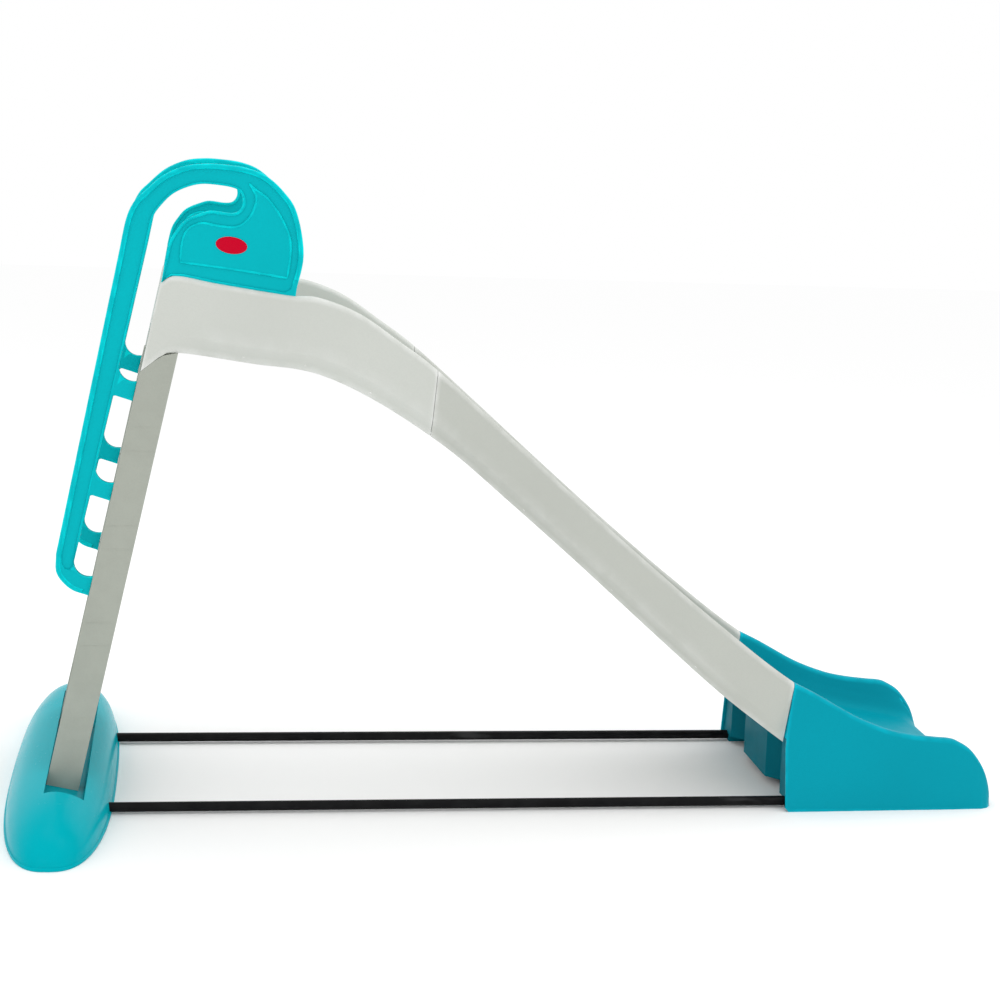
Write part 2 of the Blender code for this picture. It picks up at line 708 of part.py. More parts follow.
OUTER_EDGE = spline([
    (PANEL_END, 1.000), (-0.4285, 1.071), (-0.4425, 1.148), (-0.4685, 1.187), (-0.5005, 1.2140),
    (-0.5340, 1.2265), (-0.5680, 1.2310), (-0.6080, 1.2325), (-0.6475, 1.2270), (-0.6875, 1.2085),
    (-0.7200, 1.1795), (-0.7395, 1.1590), (-0.7535, 1.127), (-0.7660, 1.0650),
], 2)
OUTER_FOOT = spline([(-0.8785, 0.502), (-0.8770, 0.465), (-0.8525, 0.436), (-0.8200, 0.4235)], 3)
SLOT_LOW_EDGE = [
    (-0.6815, 1.057), (-0.6735, 1.090), (-0.6610, 1.111), (-0.6440, 1.130), (-0.6145, 1.143),
    (-0.5968, 1.147), (-0.5690, 1.144), (-0.5525, 1.146), (-0.5435, 1.156),
]
SLOT_HIGH_EDGE = [
    (-0.5420, 1.169), (-0.5470, 1.182), (-0.5580, 1.1895), (-0.5855, 1.194), (-0.6185, 1.195),
    (-0.6475, 1.187), (-0.6725, 1.173), (-0.6945, 1.149), (-0.7045, 1.132), (-0.7105, 1.108),
    (-0.7202, 1.060),
]
HOOK_STEPS = 2
HOOK_EDGE = spline(SLOT_LOW_EDGE + SLOT_HIGH_EDGE, HOOK_STEPS)


def strip_inner(z):
    """X of the inner edge of the handrail's long strip at height z."""
    return -0.7095 - 0.2185 * (1.109 - z)


def bay_outline(top, bottom, corner):
    """The opening between two bars, from its lower to its upper end at the ladder rail."""
    gap = -0.0004
    low_right = (rail_rear(bottom) + gap, bottom)
    left = strip_inner(bottom + corner)
    curve = [low_right]
    for turn in (90, 66, 42, 18, 0):
        a = math.radians(turn)
        centre = (left + corner, bottom + corner)
        curve.append((centre[0] - corner * math.cos(a), centre[1] - corner * math.sin(a)))
    if top is None:
        return curve
    slope = 0.26
    left_top = (strip_inner(top), top)
    fall = slope * (rail_rear(top) - strip_inner(top))
    return curve + [
        (left_top[0] - 0.001, top - 0.006), (left_top[0] + 0.005, top - 0.001),
        (rail_rear(top - fall) + gap, top - fall),
    ]


def handrail_outline():
    """The whole panel: outer edge, bottom corner, the bays up the ladder, the hook slot, the rim."""
    edge = [tuple(p) for p in OUTER_EDGE[1:]] + [tuple(p) for p in OUTER_FOOT]
    edge.append((rail_rear(0.4215) - 0.0004, 0.4215))
    edge += bay_outline(0.615, 0.459, 0.028)
    edge += bay_outline(0.803, 0.638, 0.028)
    edge += bay_outline(None, 0.829, 0.028)
    edge += [tuple(p) for p in reversed(HOOK_EDGE)]
    places = [x for x in UPPER_PLACES if PANEL_START < x < PANEL_END]
    return edge + [(x, rim_top(x) + 0.0004) for x in [PANEL_START] + places + [PANEL_END]]


def inset_outline(marked):
    """A closed outline moved inwards, each (x, z, distance) point by its own distance."""
    count = len(marked)
    area = sum(
        marked[i][0] * marked[(i + 1) % count][1] - marked[(i + 1) % count][0] * marked[i][1]
        for i in range(count)
    )
    sign = 1 if area > 0 else -1
    moved = []
    for i, (x, z, by) in enumerate(marked):
        here = Vector((x, z))
        before = Vector(marked[i - 1][:2])
        after = Vector(marked[(i + 1) % count][:2])
        normals = [
            Vector((-(b - a).y, (b - a).x)).normalized() * sign
            for a, b in ((before, here), (here, after))
        ]
        middle = (normals[0] + normals[1]).normalized()
        moved.append(tuple(here + middle * by / max(middle.dot(normals[0]), 0.6)))
    return moved


def recess_outline():
    """The sunk web inside the panel's raised rims, down the strip to its foot."""
    rim, thin = PANEL_RIM, PANEL_THIN_RIM
    marked = [(p.x, p.y, rim) for p in OUTER_EDGE]
    marked += [(-0.8680, 0.500, 0.0), (-0.8676, 0.485, 0.0), (-0.8620, 0.474, 0.0), (-0.8535, 0.473, 0.0)]
    marked += [(-0.8478, 0.483, 0.0), (strip_inner(0.52), 0.52, thin)]
    marked += [(strip_inner(0.95), 0.95, thin)]
    turn = len(SLOT_LOW_EDGE) * HOOK_STEPS
    marked += [(p.x, p.y, thin) for p in reversed(HOOK_EDGE[turn:])]
    marked += [(p.x, p.y, PANEL_SLOT_RIM) for p in reversed(HOOK_EDGE[:turn])]
    marked.append((PANEL_START, height_at(RIM_LINE, PANEL_START) + 0.010, rim))
    return inset_outline(marked)


def handrail(name, side):
    low, high = side * PANEL_Y - PANEL_THICK / 2, side * PANEL_Y + PANEL_THICK / 2
    panel = prism(handrail_outline(), low, high, name, "teal_plastic")
    recess = recess_outline()
    cut(panel, prism(recess, low - 0.01, low + PANEL_RECESS))
    cut(panel, prism(recess, high - PANEL_RECESS, high + 0.01))
    for x in PLUG_X:
        add(panel, plug(x, side, 0.0, 0.006))
    for z in BAR_Z:
        cut(panel, handrail_screw_hole(z, side, -0.002, 0.022))
    return tidy(panel)


def badge(name, side):
    """A blank oval plate that lies in the panel's recess."""
    x0, z0 = BADGE_CENTRE
    ring = []
    for i in range(20):
        turn = math.tau * i / 20
        along, up = BADGE_HALF_LONG * math.cos(turn), BADGE_HALF_HIGH * math.sin(turn)
        c, s = math.cos(BADGE_TILT), math.sin(BADGE_TILT)
        ring.append((x0 + along * c - up * s, z0 + along * s + up * c))
    small = [(x0 + (x - x0) * 0.93, z0 + (z - z0) * 0.9) for x, z in ring]
    outer = side * (PANEL_Y + PANEL_THICK / 2 - PANEL_RECESS)
    levels = [(ring, side * GAP), (ring, side * 0.0012), (small, side * 0.0022)]
    return tidy(loft([[(x, outer + off, z) for x, z in shape] for shape, off in levels], name, "red_plastic"))


# ---------------------------------------------------------------- fasteners

TUBE_SCREW_REAR = -0.800
TUBE_SCREW_FRONT = 0.600
FOOT_SCREW_Y = 0.2075


def screw(name, seat, along, reach):
    """A pan head screw: its head lies behind seat and its shank runs along from there."""
    head = 0.0028
    profile = [
        (SCREW_HEAD_R * 0.6, -head), (SCREW_HEAD_R, -head * 0.45), (SCREW_HEAD_R, 0.0),
        (SCREW_R, 0.0), (SCREW_R, reach * 0.8), (SCREW_R * 0.4, reach),
    ]
    return tidy(turned(profile, seat, along, name))


def hex_piece(name, start, along, high, hole):
    """A nut, with a hole that clears the bolt."""
    nut = turned([(BOLT_HEAD_R, 0.0), (BOLT_HEAD_R, high)], start, along, name, steps=6)
    back = Vector(start) - Vector(along) * 0.01
    cut(nut, turned([(hole, 0.0), (hole, high + 0.02)], back, along))
    return tidy(nut)


def joint_fasteners(prefix, x):
    for side, word in ((1, "left"), (-1, "right")):
        seat, along = bolt_place(x, side, -SKIN - GAP * 3)
        profile = [
            (BOLT_HEAD_R * 0.9, -0.0045), (BOLT_HEAD_R, -0.0035), (BOLT_HEAD_R, 0.0), (BOLT_R, 0.0),
            (BOLT_R, 0.018), (BOLT_R * 0.7, 0.019),
        ]
        tidy(turned(profile, seat, along, f"{prefix}_bolt_{word}"))
        nut_start, _ = bolt_place(x, side, SKIN + GAP * 3)
        hex_piece(f"{prefix}_nut_{word}", nut_start, along, 0.005, BOLT_R + GAP)


def fasteners():
    matrix = ladder_matrix()
    up_rail = matrix.to_3x3() @ Vector((0, 0, 1))
    for side, word in ((1, "left"), (-1, "right")):
        for number, z in enumerate(BAR_Z, 1):
            seat, along = handrail_screw_place(z, side, -SKIN - GAP)
            screw(f"handrail_screw_{word}_{number}", seat, along, 0.022)
        x, z = TOP_SCREW
        screw(f"ladder_top_screw_{word}", (x, side * (TONGUE_Y[0] - GAP), z), (0, side, 0), 0.0175)
        seat = matrix @ Vector((0.0, side * FOOT_SCREW_Y, -SKIN - GAP * 2))
        screw(f"ladder_foot_screw_{word}", seat, up_rail, 0.014)
        for number, tube_x in ((1, TUBE_SCREW_REAR), (2, TUBE_SCREW_FRONT)):
            seat = (tube_x, side * TUBE_Y, SOCKET_HIGH + GAP)
            screw(f"tube_screw_{word}_{number}", seat, (0, 0, -1), 0.011)
    joint_fasteners("upper_joint", JOINT_X)
    joint_fasteners("lower_joint", END_JOINT_X)


def build():
    clear_scene()
    base_foot()
    upper_chute()
    lower_chute()
    end_piece()
    for side, word in ((1, "left"), (-1, "right")):
        tie_tube(f"tie_tube_{word}", side)
        ladder_rail(f"ladder_rail_{word}", side)
        handrail(f"handrail_{word}", side)
        badge(f"badge_{word}", side)
    for number in range(1, TREAD_COUNT + 1):
        ladder_tread(number)
    fasteners()


build()
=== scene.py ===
# %% [markdown]
# Toddler slide, built as a lesson in Blender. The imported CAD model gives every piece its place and
# its size. Each cell below takes one piece or one finish of the slide, says what it is on the real
# thing, and then makes it. Read it from the top: helpers come in where they are first needed.

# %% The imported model
import math

import bmesh
import bpy
from mathutils import Matrix, Vector


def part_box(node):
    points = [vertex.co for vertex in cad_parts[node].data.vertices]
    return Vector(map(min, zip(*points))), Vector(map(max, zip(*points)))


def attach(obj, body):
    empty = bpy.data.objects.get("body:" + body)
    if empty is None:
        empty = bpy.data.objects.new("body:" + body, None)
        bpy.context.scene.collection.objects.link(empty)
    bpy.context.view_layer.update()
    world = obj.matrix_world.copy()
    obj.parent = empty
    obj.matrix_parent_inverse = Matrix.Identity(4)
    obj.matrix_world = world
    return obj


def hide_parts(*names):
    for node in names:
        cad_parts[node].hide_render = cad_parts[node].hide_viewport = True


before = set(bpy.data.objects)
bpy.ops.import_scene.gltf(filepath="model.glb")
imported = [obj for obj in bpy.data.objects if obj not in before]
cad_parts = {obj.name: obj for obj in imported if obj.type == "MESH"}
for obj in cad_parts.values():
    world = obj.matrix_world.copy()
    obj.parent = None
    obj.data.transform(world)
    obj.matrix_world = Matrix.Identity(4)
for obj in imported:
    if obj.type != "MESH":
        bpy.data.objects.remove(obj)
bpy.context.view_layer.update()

# %% [markdown]
# The camera stands beside the slide, a little above the platform, and turns slightly towards the
# exit. A camera looks along its own -Z axis with +Y up, so its matrix can be written straight from
# three directions: right, up and backwards. That is clearer than three chained rotations, and the
# small roll of a hand-held shot is one more turn of the right and up directions.

# %% Camera


def side_camera(place, yaw, pitch, roll, lens):
    """A camera turned by yaw to the right of +Y, by pitch downwards and by roll about its own axis."""
    forward = Vector((math.sin(yaw) * math.cos(pitch), math.cos(yaw) * math.cos(pitch), -math.sin(pitch)))
    level = Vector((math.cos(yaw), -math.sin(yaw), 0.0))
    down = forward.cross(level)
    right = math.cos(roll) * level + math.sin(roll) * down
    down = -math.sin(roll) * level + math.cos(roll) * down
    data = bpy.data.cameras.new("side_camera")
    data.lens, data.sensor_fit = lens, "HORIZONTAL"
    data.sensor_width = 36.0
    data.clip_end = 60.0
    made = bpy.data.objects.new("side_camera", data)
    bpy.context.scene.collection.objects.link(made)
    turn = Matrix((right, -down, -forward)).transposed()
    made.matrix_world = Matrix.Translation(place) @ turn.to_4x4()
    return made


CAMERA_PLACE = Vector((-0.6455, -4.19098, 1.32939))
CAMERA_YAW, CAMERA_PITCH, CAMERA_ROLL = (math.radians(a) for a in (8.60911, 10.092528, -2.15288543))
CAMERA_LENS = 76.688
bpy.context.scene.camera = side_camera(CAMERA_PLACE, CAMERA_YAW, CAMERA_PITCH, CAMERA_ROLL, CAMERA_LENS)
print("camera", tuple(round(c, 3) for c in CAMERA_PLACE))

# %% [markdown]
# The room is plain: a pale floor, a bright even sky and three soft area lights. Most of the light
# is meant to come from the sky, so that shadows stay faint, and the area lights shape the forms. The
# Standard view transform keeps pale plastic pale, where the default one would turn it grey.

# %% Floor and lights
SKY_STRENGTH = 1.0
FLOOR_REACH, FLOOR_CUTS, FLOOR_TONE = 14.0, 5, 0.985


def area_light(name, place, aim, size, power):
    """A soft rectangular light at a place, turned to its aim."""
    data = bpy.data.lights.new(name, "AREA")
    data.shape, data.size, data.size_y = "RECTANGLE", size[0], size[1]
    data.energy = power
    light = bpy.data.objects.new(name, data)
    bpy.context.scene.collection.objects.link(light)
    light.location = place
    light.rotation_euler = (Vector(aim) - Vector(place)).to_track_quat("-Z", "Y").to_euler()


def studio():
    """An even white sky and the three lights: name, place, aim, size in metres, watts."""
    scene = bpy.context.scene
    scene.view_settings.view_transform = "Standard"
    world = bpy.data.worlds.new("studio_sky")
    world.use_nodes = True
    sky = world.node_tree.nodes["Background"]
    sky.inputs["Color"].default_value = (1.0, 1.0, 1.0, 1.0)
    sky.inputs["Strength"].default_value = SKY_STRENGTH
    scene.world = world
    area_light("overhead", (0.3, 0.4, 4.2), (0.0, 0.0, 0.4), (4.5, 2.5), 44.0)
    area_light("front", (-2.6, -4.6, 2.6), (0.0, 0.0, 0.5), (3.0, 2.2), 12.0)
    area_light("behind", (2.4, 3.6, 2.4), (0.0, 0.0, 0.6), (3.0, 2.0), 10.0)


def pale_floor():
    """A wide matt plane at ground level."""
    bm = bmesh.new()
    signs = ((-1, -1), (1, -1), (1, 1), (-1, 1))
    bm.faces.new([bm.verts.new((x * FLOOR_REACH, y * FLOOR_REACH, 0.0)) for x, y in signs])
    bmesh.ops.subdivide_edges(bm, edges=bm.edges, cuts=FLOOR_CUTS, use_grid_fill=True)
    mesh = bpy.data.meshes.new("floor")
    bm.to_mesh(mesh)
    bm.free()
    floor = bpy.data.objects.new("floor", mesh)
    bpy.context.scene.collection.objects.link(floor)
    paint = bpy.data.materials.new("pale_floor")
    paint.use_nodes = True
    shader = paint.node_tree.nodes["Principled BSDF"]
    shader.inputs["Base Color"].default_value = (FLOOR_TONE, FLOOR_TONE, FLOOR_TONE, 1.0)
    shader.inputs["Roughness"].default_value = 1.0
    shader.inputs["Specular IOR Level"].default_value = 0.0
    mesh.materials.append(paint)


studio()
pale_floor()

# %% [markdown]
# Finishes. A moulded plastic isn't one flat colour: the pigment drifts a little across a large part,
# the mould leaves a fine grain, and handling leaves dull smears and hair scratches. Raised edges get a
# painted highlight and hollows get painted shade. One function builds all of that from noise and from
# the mesh's own pointiness, and each piece of the slide then sets its own numbers.

# %% Node helpers


def feed(tree, socket, value):
    """Links a socket into another one, or sets a plain value on it."""
    if isinstance(value, bpy.types.NodeSocket):
        tree.links.new(value, socket)
    else:
        socket.default_value = value


def node(tree, kind, **values):
    """A shader node with its sockets set by name; a value that is a socket gets linked."""
    made = tree.nodes.new(kind)
    for name, value in values.items():
        feed(tree, made.inputs[name.replace("_", " ")], value)
    return made


def ramp(tree, source, stops):
    """A colour ramp as a plain value curve: (position, value) stops."""
    made = tree.nodes.new("ShaderNodeValToRGB")
    bar = made.color_ramp
    while len(bar.elements) < len(stops):
        bar.elements.new(0.5)
    for element, (place, value) in zip(bar.elements, stops):
        element.position = place
        element.color = (value, value, value, 1.0)
    tree.links.new(source, made.inputs["Fac"])
    return made.outputs["Color"]


def mix_colour(tree, share, first, second):
    """Blends two colours. A mix node keeps its colour sockets at inputs 6 and 7 and output 2."""
    made = tree.nodes.new("ShaderNodeMix")
    made.data_type = "RGBA"
    for place, value in ((0, share), (6, first), (7, second)):
        feed(tree, made.inputs[place], value)
    return made.outputs[2]


def math_node(tree, operation, *values):
    """One sum on numbers, each a socket or a plain value."""
    made = tree.nodes.new("ShaderNodeMath")
    made.operation = operation
    for socket, value in zip(made.inputs, values):
        feed(tree, socket, value)
    return made.outputs[0]


def noise(tree, scale, detail=3.0, stretch=None):
    """3-D noise in metres, stretched along the axes if asked."""
    spot = tree.nodes.new("ShaderNodeTexCoord").outputs["Object"]
    if stretch:
        mapping = tree.nodes.new("ShaderNodeMapping")
        mapping.inputs["Scale"].default_value = stretch
        tree.links.new(spot, mapping.inputs["Vector"])
        spot = mapping.outputs["Vector"]
    return node(tree, "ShaderNodeTexNoise", Vector=spot, Scale=scale, Detail=detail).outputs["Fac"]


def times(colour, factor):
    """A colour made lighter or darker without leaving the range."""
    return tuple(min(1.0, c * factor) for c in colour[:3]) + (1.0,)


print("half a pale grey:", times((0.6, 0.6, 0.6), 0.5))

# %% Moulded plastic
FLECK_SHARE, FLECK_DARK = 0.30, 1.6
# The first factor lightens raised edges as a painted highlight, the second darkens hollows as painted
# shade.
EDGE_LIGHT, HOLLOW_SHADE_DARK = 2.2, 0.45
SMEAR_ROUGH, HAIR_ROUGH = 0.10, 0.06


def moulded_plastic(name, colour, gloss, grain, drift, edge_highlight, hollow_shade, shine):
    """Moulded plastic with drifting pigment, mould grain, smears, scratches, a painted highlight on raised
    edges and painted shade in hollows.
    """
    made = bpy.data.materials.new(name)
    made.use_nodes = True
    tree = made.node_tree
    shader = tree.nodes["Principled BSDF"]
    base = tuple(colour) + (1.0,)

    # Slow clouds in the pigment, then fine flecks.
    cloud = ramp(tree, noise(tree, 2.3, 4.0), [(0.3, 0.0), (0.7, 1.0)])
    tone = mix_colour(tree, cloud, times(base, 1 - drift), times(base, 1 + drift))
    fleck = ramp(tree, noise(tree, 420.0, 2.0), [(0.40, 0.0), (0.62, 1.0)])
    tone = mix_colour(tree, math_node(tree, "MULTIPLY", fleck, FLECK_SHARE), tone,
                      times(base, 1 - drift * FLECK_DARK))

    # Pointiness is above a half on raised edges and below it in hollows. Raised edges are painted lighter
    # in patches as a highlight, and hollows are painted darker as shade.
    point = tree.nodes.new("ShaderNodeNewGeometry").outputs["Pointiness"]
    edge = ramp(tree, point, [(0.508, 0.0), (0.555, 1.0)])
    edge = math_node(tree, "MULTIPLY", edge, ramp(tree, noise(tree, 34.0), [(0.35, 0.3), (0.65, 1.0)]))
    # Painted highlight: raised edges are mixed towards a much lighter tint.
    tone = mix_colour(tree, math_node(tree, "MULTIPLY", edge, edge_highlight), tone, times(base, EDGE_LIGHT))
    # Painted shade: hollows are mixed towards a darker tint.
    hollow = ramp(tree, point, [(0.43, 1.0), (0.49, 0.0)])
    hollow = math_node(tree, "MULTIPLY", hollow, hollow_shade)
    tone = mix_colour(tree, hollow, tone, times(base, HOLLOW_SHADE_DARK))
    feed(tree, shader.inputs["Base Color"], tone)

    # Smears dull the skin in patches, hair scratches in thin lines.
    smear = ramp(tree, noise(tree, 7.0, 6.0, (1.0, 2.5, 1.0)), [(0.35, 0.0), (0.70, 1.0)])
    hair = ramp(tree, noise(tree, 60.0, 8.0, (1.0, 1.0, 14.0)), [(0.62, 0.0), (0.66, 1.0)])
    rough = math_node(tree, "MULTIPLY_ADD", smear, SMEAR_ROUGH, gloss)
    rough = math_node(tree, "ADD", rough, math_node(tree, "MULTIPLY", hair, HAIR_ROUGH))
    feed(tree, shader.inputs["Roughness"], rough)

    # Three bumps in a row: slow waves of the mould, its grain and the scratches.
    fine = noise(tree, 900.0, 2.0)
    wavy = noise(tree, 5.0, 2.0)
    low = node(tree, "ShaderNodeBump", Strength=0.10, Distance=0.004, Height=wavy)
    high = node(tree, "ShaderNodeBump", Strength=grain, Distance=0.00025, Height=fine,
                Normal=low.outputs["Normal"])
    scratch = node(tree, "ShaderNodeBump", Strength=0.12, Distance=0.0002, Height=hair,
                   Normal=high.outputs["Normal"])
    feed(tree, shader.inputs["Normal"], scratch.outputs["Normal"])
    shader.inputs["Specular IOR Level"].default_value = shine
    return made


# %% [markdown]
# The slide's plastics. The chute is a warm pale grey with a satin skin; its lower moulding is that grey
# darkened as painted shade. The ladder is a darker and duller grey. Handrails and end piece are satin
# teal, the skirt behind it is that teal darkened much more as painted shade, and the foot comes out of
# a polished mould, so it is the least rough. Shine is set low, because a strong one lays a white veil
# over the teal under a white sky.
# All the numbers stand in one table, which makes it easy to compare one finish with the next.

# %% Plastic finishes
# Each row: colour, roughness, grain, pigment drift, painted highlight on edges, painted shade in hollows,
# shine.
PLASTICS = {
    "chute_grey": ((0.577, 0.597, 0.556), 0.42, 0.30, 0.035, 0.60, 0.25, 0.16),
    # The lower chute: the chute's grey darkened as painted shade.
    "lower_grey_shaded": ((0.500, 0.518, 0.475), 0.44, 0.30, 0.035, 0.60, 0.25, 0.16),
    "ladder_grey": ((0.368, 0.388, 0.340), 0.48, 0.45, 0.04, 0.08, 0.35, 0.14),
    "panel_teal": ((0.0, 0.450, 0.505), 0.36, 0.22, 0.05, 0.60, 0.70, 0.05),
    "exit_teal": ((0.0, 0.308, 0.396), 0.40, 0.28, 0.05, 0.60, 0.40, 0.05),
    # The skirt's teal is the end piece's teal darkened as painted shade.
    "skirt_teal_shaded": ((0.0, 0.135, 0.180), 0.45, 0.30, 0.05, 0.20, 0.40, 0.05),
    "foot_teal": ((0.0, 0.405, 0.475), 0.16, 0.05, 0.05, 0.03, 0.25, 0.02),
    "badge_red": ((0.560, 0.0, 0.020), 0.24, 0.08, 0.05, 0.20, 0.30, 0.06),
}
FINISH = {name: moulded_plastic(name, *numbers) for name, numbers in PLASTICS.items()}
print("finishes", sorted(FINISH))

# %% [markdown]
# The two ground tubes are steel with a black powder coat: not quite black, with the orange-peel skin
# that the powder leaves when it melts. The screws are zinc plated, with the faint rainbow drift and
# the fine turning marks of cheap plated steel. Metal needs its own recipe, with Metallic set to one.

# %% Metal finishes
COAT_DARK, COAT_PALE = (0.003, 0.003, 0.0035, 1.0), (0.008, 0.008, 0.0085, 1.0)
COAT_SCUFF = (0.05, 0.05, 0.052, 1.0)
ZINC_BLUE, ZINC_WARM = (0.50, 0.51, 0.53, 1.0), (0.64, 0.62, 0.58, 1.0)


def powder_coat(name):
    """Black powder coat with orange peel and a few scuffs along the tube."""
    made = bpy.data.materials.new(name)
    made.use_nodes = True
    tree = made.node_tree
    shader = tree.nodes["Principled BSDF"]
    cloud = ramp(tree, noise(tree, 30.0, 4.0), [(0.35, 0.0), (0.65, 1.0)])
    tone = mix_colour(tree, cloud, COAT_DARK, COAT_PALE)
    scuff = ramp(tree, noise(tree, 22.0, 8.0, (0.2, 1.0, 1.0)), [(0.66, 0.0), (0.72, 0.5)])
    feed(tree, shader.inputs["Base Color"], mix_colour(tree, scuff, tone, COAT_SCUFF))
    feed(tree, shader.inputs["Roughness"], math_node(tree, "MULTIPLY_ADD", cloud, 0.12, 0.34))
    peel = node(tree, "ShaderNodeBump", Strength=0.25, Distance=0.0004, Height=noise(tree, 260.0, 2.0))
    feed(tree, shader.inputs["Normal"], peel.outputs["Normal"])
    shader.inputs["Specular IOR Level"].default_value = 0.10
    return made


def zinc_plate(name):
    """Zinc plate: a bluish and a warm metal in clouds, with fine turning marks."""
    made = bpy.data.materials.new(name)
    made.use_nodes = True
    tree = made.node_tree
    shader = tree.nodes["Principled BSDF"]
    cloud = ramp(tree, noise(tree, 90.0, 4.0), [(0.3, 0.0), (0.7, 1.0)])
    feed(tree, shader.inputs["Base Color"], mix_colour(tree, cloud, ZINC_BLUE, ZINC_WARM))
    feed(tree, shader.inputs["Roughness"], math_node(tree, "MULTIPLY_ADD", cloud, 0.15, 0.25))
    marks = node(tree, "ShaderNodeBump", Strength=0.2, Distance=0.0002, Height=noise(tree, 1400.0, 2.0))
    feed(tree, shader.inputs["Normal"], marks.outputs["Normal"])
    shader.inputs["Metallic"].default_value = 1.0
    return made


FINISH["tube_black"] = powder_coat("tube_black")
FINISH["screw_zinc"] = zinc_plate("screw_zinc")
print("finishes", len(FINISH))

# %% [markdown]
# Mesh helpers. Every big moulding here is a sheet that follows a row of cross sections, so one helper
# skins two such rows, the outer and the inner face of the wall, and closes the four edges between
# them. That gives a real wall thickness, with quads that run along the form and shade smoothly.

# %% Mesh helpers
BEVEL_ANGLE = math.radians(35)


def keep_piece(name, bm, finish, stands_for, sharp, bevel=0.0, segments=2):
    """Turns a bmesh into a shown piece of the slide that rides on its one body."""
    bmesh.ops.recalc_face_normals(bm, faces=bm.faces)
    mesh = bpy.data.meshes.new(name)
    bm.to_mesh(mesh)
    bm.free()
    mesh.materials.append(FINISH[finish])
    piece = bpy.data.objects.new(name, mesh)
    bpy.context.scene.collection.objects.link(piece)
    mesh.shade_smooth()
    mesh.set_sharp_from_angle(angle=math.radians(sharp))
    if bevel:
        soften = piece.modifiers.new("soften", "BEVEL")
        soften.width, soften.segments = bevel, segments
        soften.limit_method, soften.angle_limit = "ANGLE", BEVEL_ANGLE
        soften.harden_normals = True
    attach(piece, "root")
    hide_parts(*stands_for)
    return piece


def add_grid(bm, rows):
    """Adds rows of points as quads and returns their vertices."""
    verts = [[bm.verts.new(point) for point in row] for row in rows]
    for low, high in zip(verts, verts[1:]):
        for i in range(len(low) - 1):
            bm.faces.new((low[i], low[i + 1], high[i + 1], high[i]))
    return verts


def add_sheet(bm, outer, inner):
    """A wall between an outer and an inner row of open sections, closed all round."""
    first, second = add_grid(bm, outer), add_grid(bm, inner)
    for a, b in zip((first[0], first[-1]), (second[0], second[-1])):
        for i in range(len(a) - 1):
            bm.faces.new((a[i], a[i + 1], b[i + 1], b[i]))
    for side in (0, -1):
        for i in range(len(first) - 1):
            bm.faces.new((first[i][side], first[i + 1][side], second[i + 1][side], second[i][side]))


def add_loft(bm, rings):
    """Closed rings skinned into one body with flat ends."""
    rows = [[bm.verts.new(point) for point in ring] for ring in rings]
    count = len(rows[0])
    for low, high in zip(rows, rows[1:]):
        for i in range(count):
            j = (i + 1) % count
            bm.faces.new((low[i], low[j], high[j], high[i]))
    bm.faces.new(rows[0])
    bm.faces.new(rows[-1])


def add_box(bm, low, high, matrix=None):
    """A box between two corners, turned and placed by a matrix if there is one."""
    base = [(low[0], low[1]), (high[0], low[1]), (high[0], high[1]), (low[0], high[1])]
    rings = [[Vector((x, y, z)) for x, y in base] for z in (low[2], high[2])]
    if matrix:
        rings = [[matrix @ point for point in ring] for ring in rings]
    add_loft(bm, rings)


sample = bmesh.new()
add_box(sample, (0, 0, 0), (1, 1, 1))
print("a box has", len(sample.faces), "faces")
sample.free()

# %% Smooth curves


def flowing(points, steps):
    """A smooth curve through points, with steps pieces between neighbours."""
    row = [Vector(p) for p in points]
    row = [2 * row[0] - row[1]] + row + [2 * row[-1] - row[-2]]
    curve = []
    for before, start, stop, after in zip(row, row[1:], row[2:], row[3:]):
        for i in range(steps):
            t = i / steps
            curve.append(0.5 * (
                2 * start + (stop - before) * t
                + (2 * before - 5 * start + 4 * stop - after) * t ** 2
                + (3 * start - before - 3 * stop + after) * t ** 3
            ))
    curve.append(Vector(points[-1]))
    return curve


def height_at(curve, x):
    """Height of an (x, z) curve at x."""
    for start, stop in zip(curve, curve[1:]):
        if x <= stop.x:
            return start.y + (x - start.x) / (stop.x - start.x) * (stop.y - start.y)
    return curve[-1].y


def between(x, marks):
    """Straight interpolation through (x, value) marks."""
    for (x0, v0), (x1, v1) in zip(marks, marks[1:]):
        if x <= x1:
            return v0 + (v1 - v0) * max(0.0, (x - x0) / (x1 - x0))
    return marks[-1][1]


def under(path, by):
    """An open (across, down) path moved by a wall's thickness to the side under the skin."""
    moved = []
    for i, point in enumerate(path):
        here = Vector(point)
        before, after = Vector(path[max(i - 1, 0)]), Vector(path[min(i + 1, len(path) - 1)])
        normals = [
            Vector((-(b - a).y, (b - a).x)).normalized()
            for a, b in ((before, here), (here, after)) if (b - a).length > 1e-7
        ]
        middle = sum(normals, Vector((0, 0))).normalized()
        moved.append(tuple(here - middle * by / max(middle.dot(normals[0]), 0.5)))
    return moved


def both_sides(half):
    """A whole section from its left half, which ends on the middle line."""
    return half + [(-y, d) for y, d in reversed(half[:-1])]


print("smooth curve of 3 points in 4 steps:", len(flowing([(0, 0), (1, 1), (2, 0)], 4)), "points")

# %% [markdown]
# The chute's side view. Two curves carry the whole form: the rim on top, which starts with a small
# lip at the ladder, crests and then runs down; and the lower edge of the side. They are smooth curves
# through a few points in metres. The section leans a little, so its end faces stand square to the
# run where the mouldings meet.

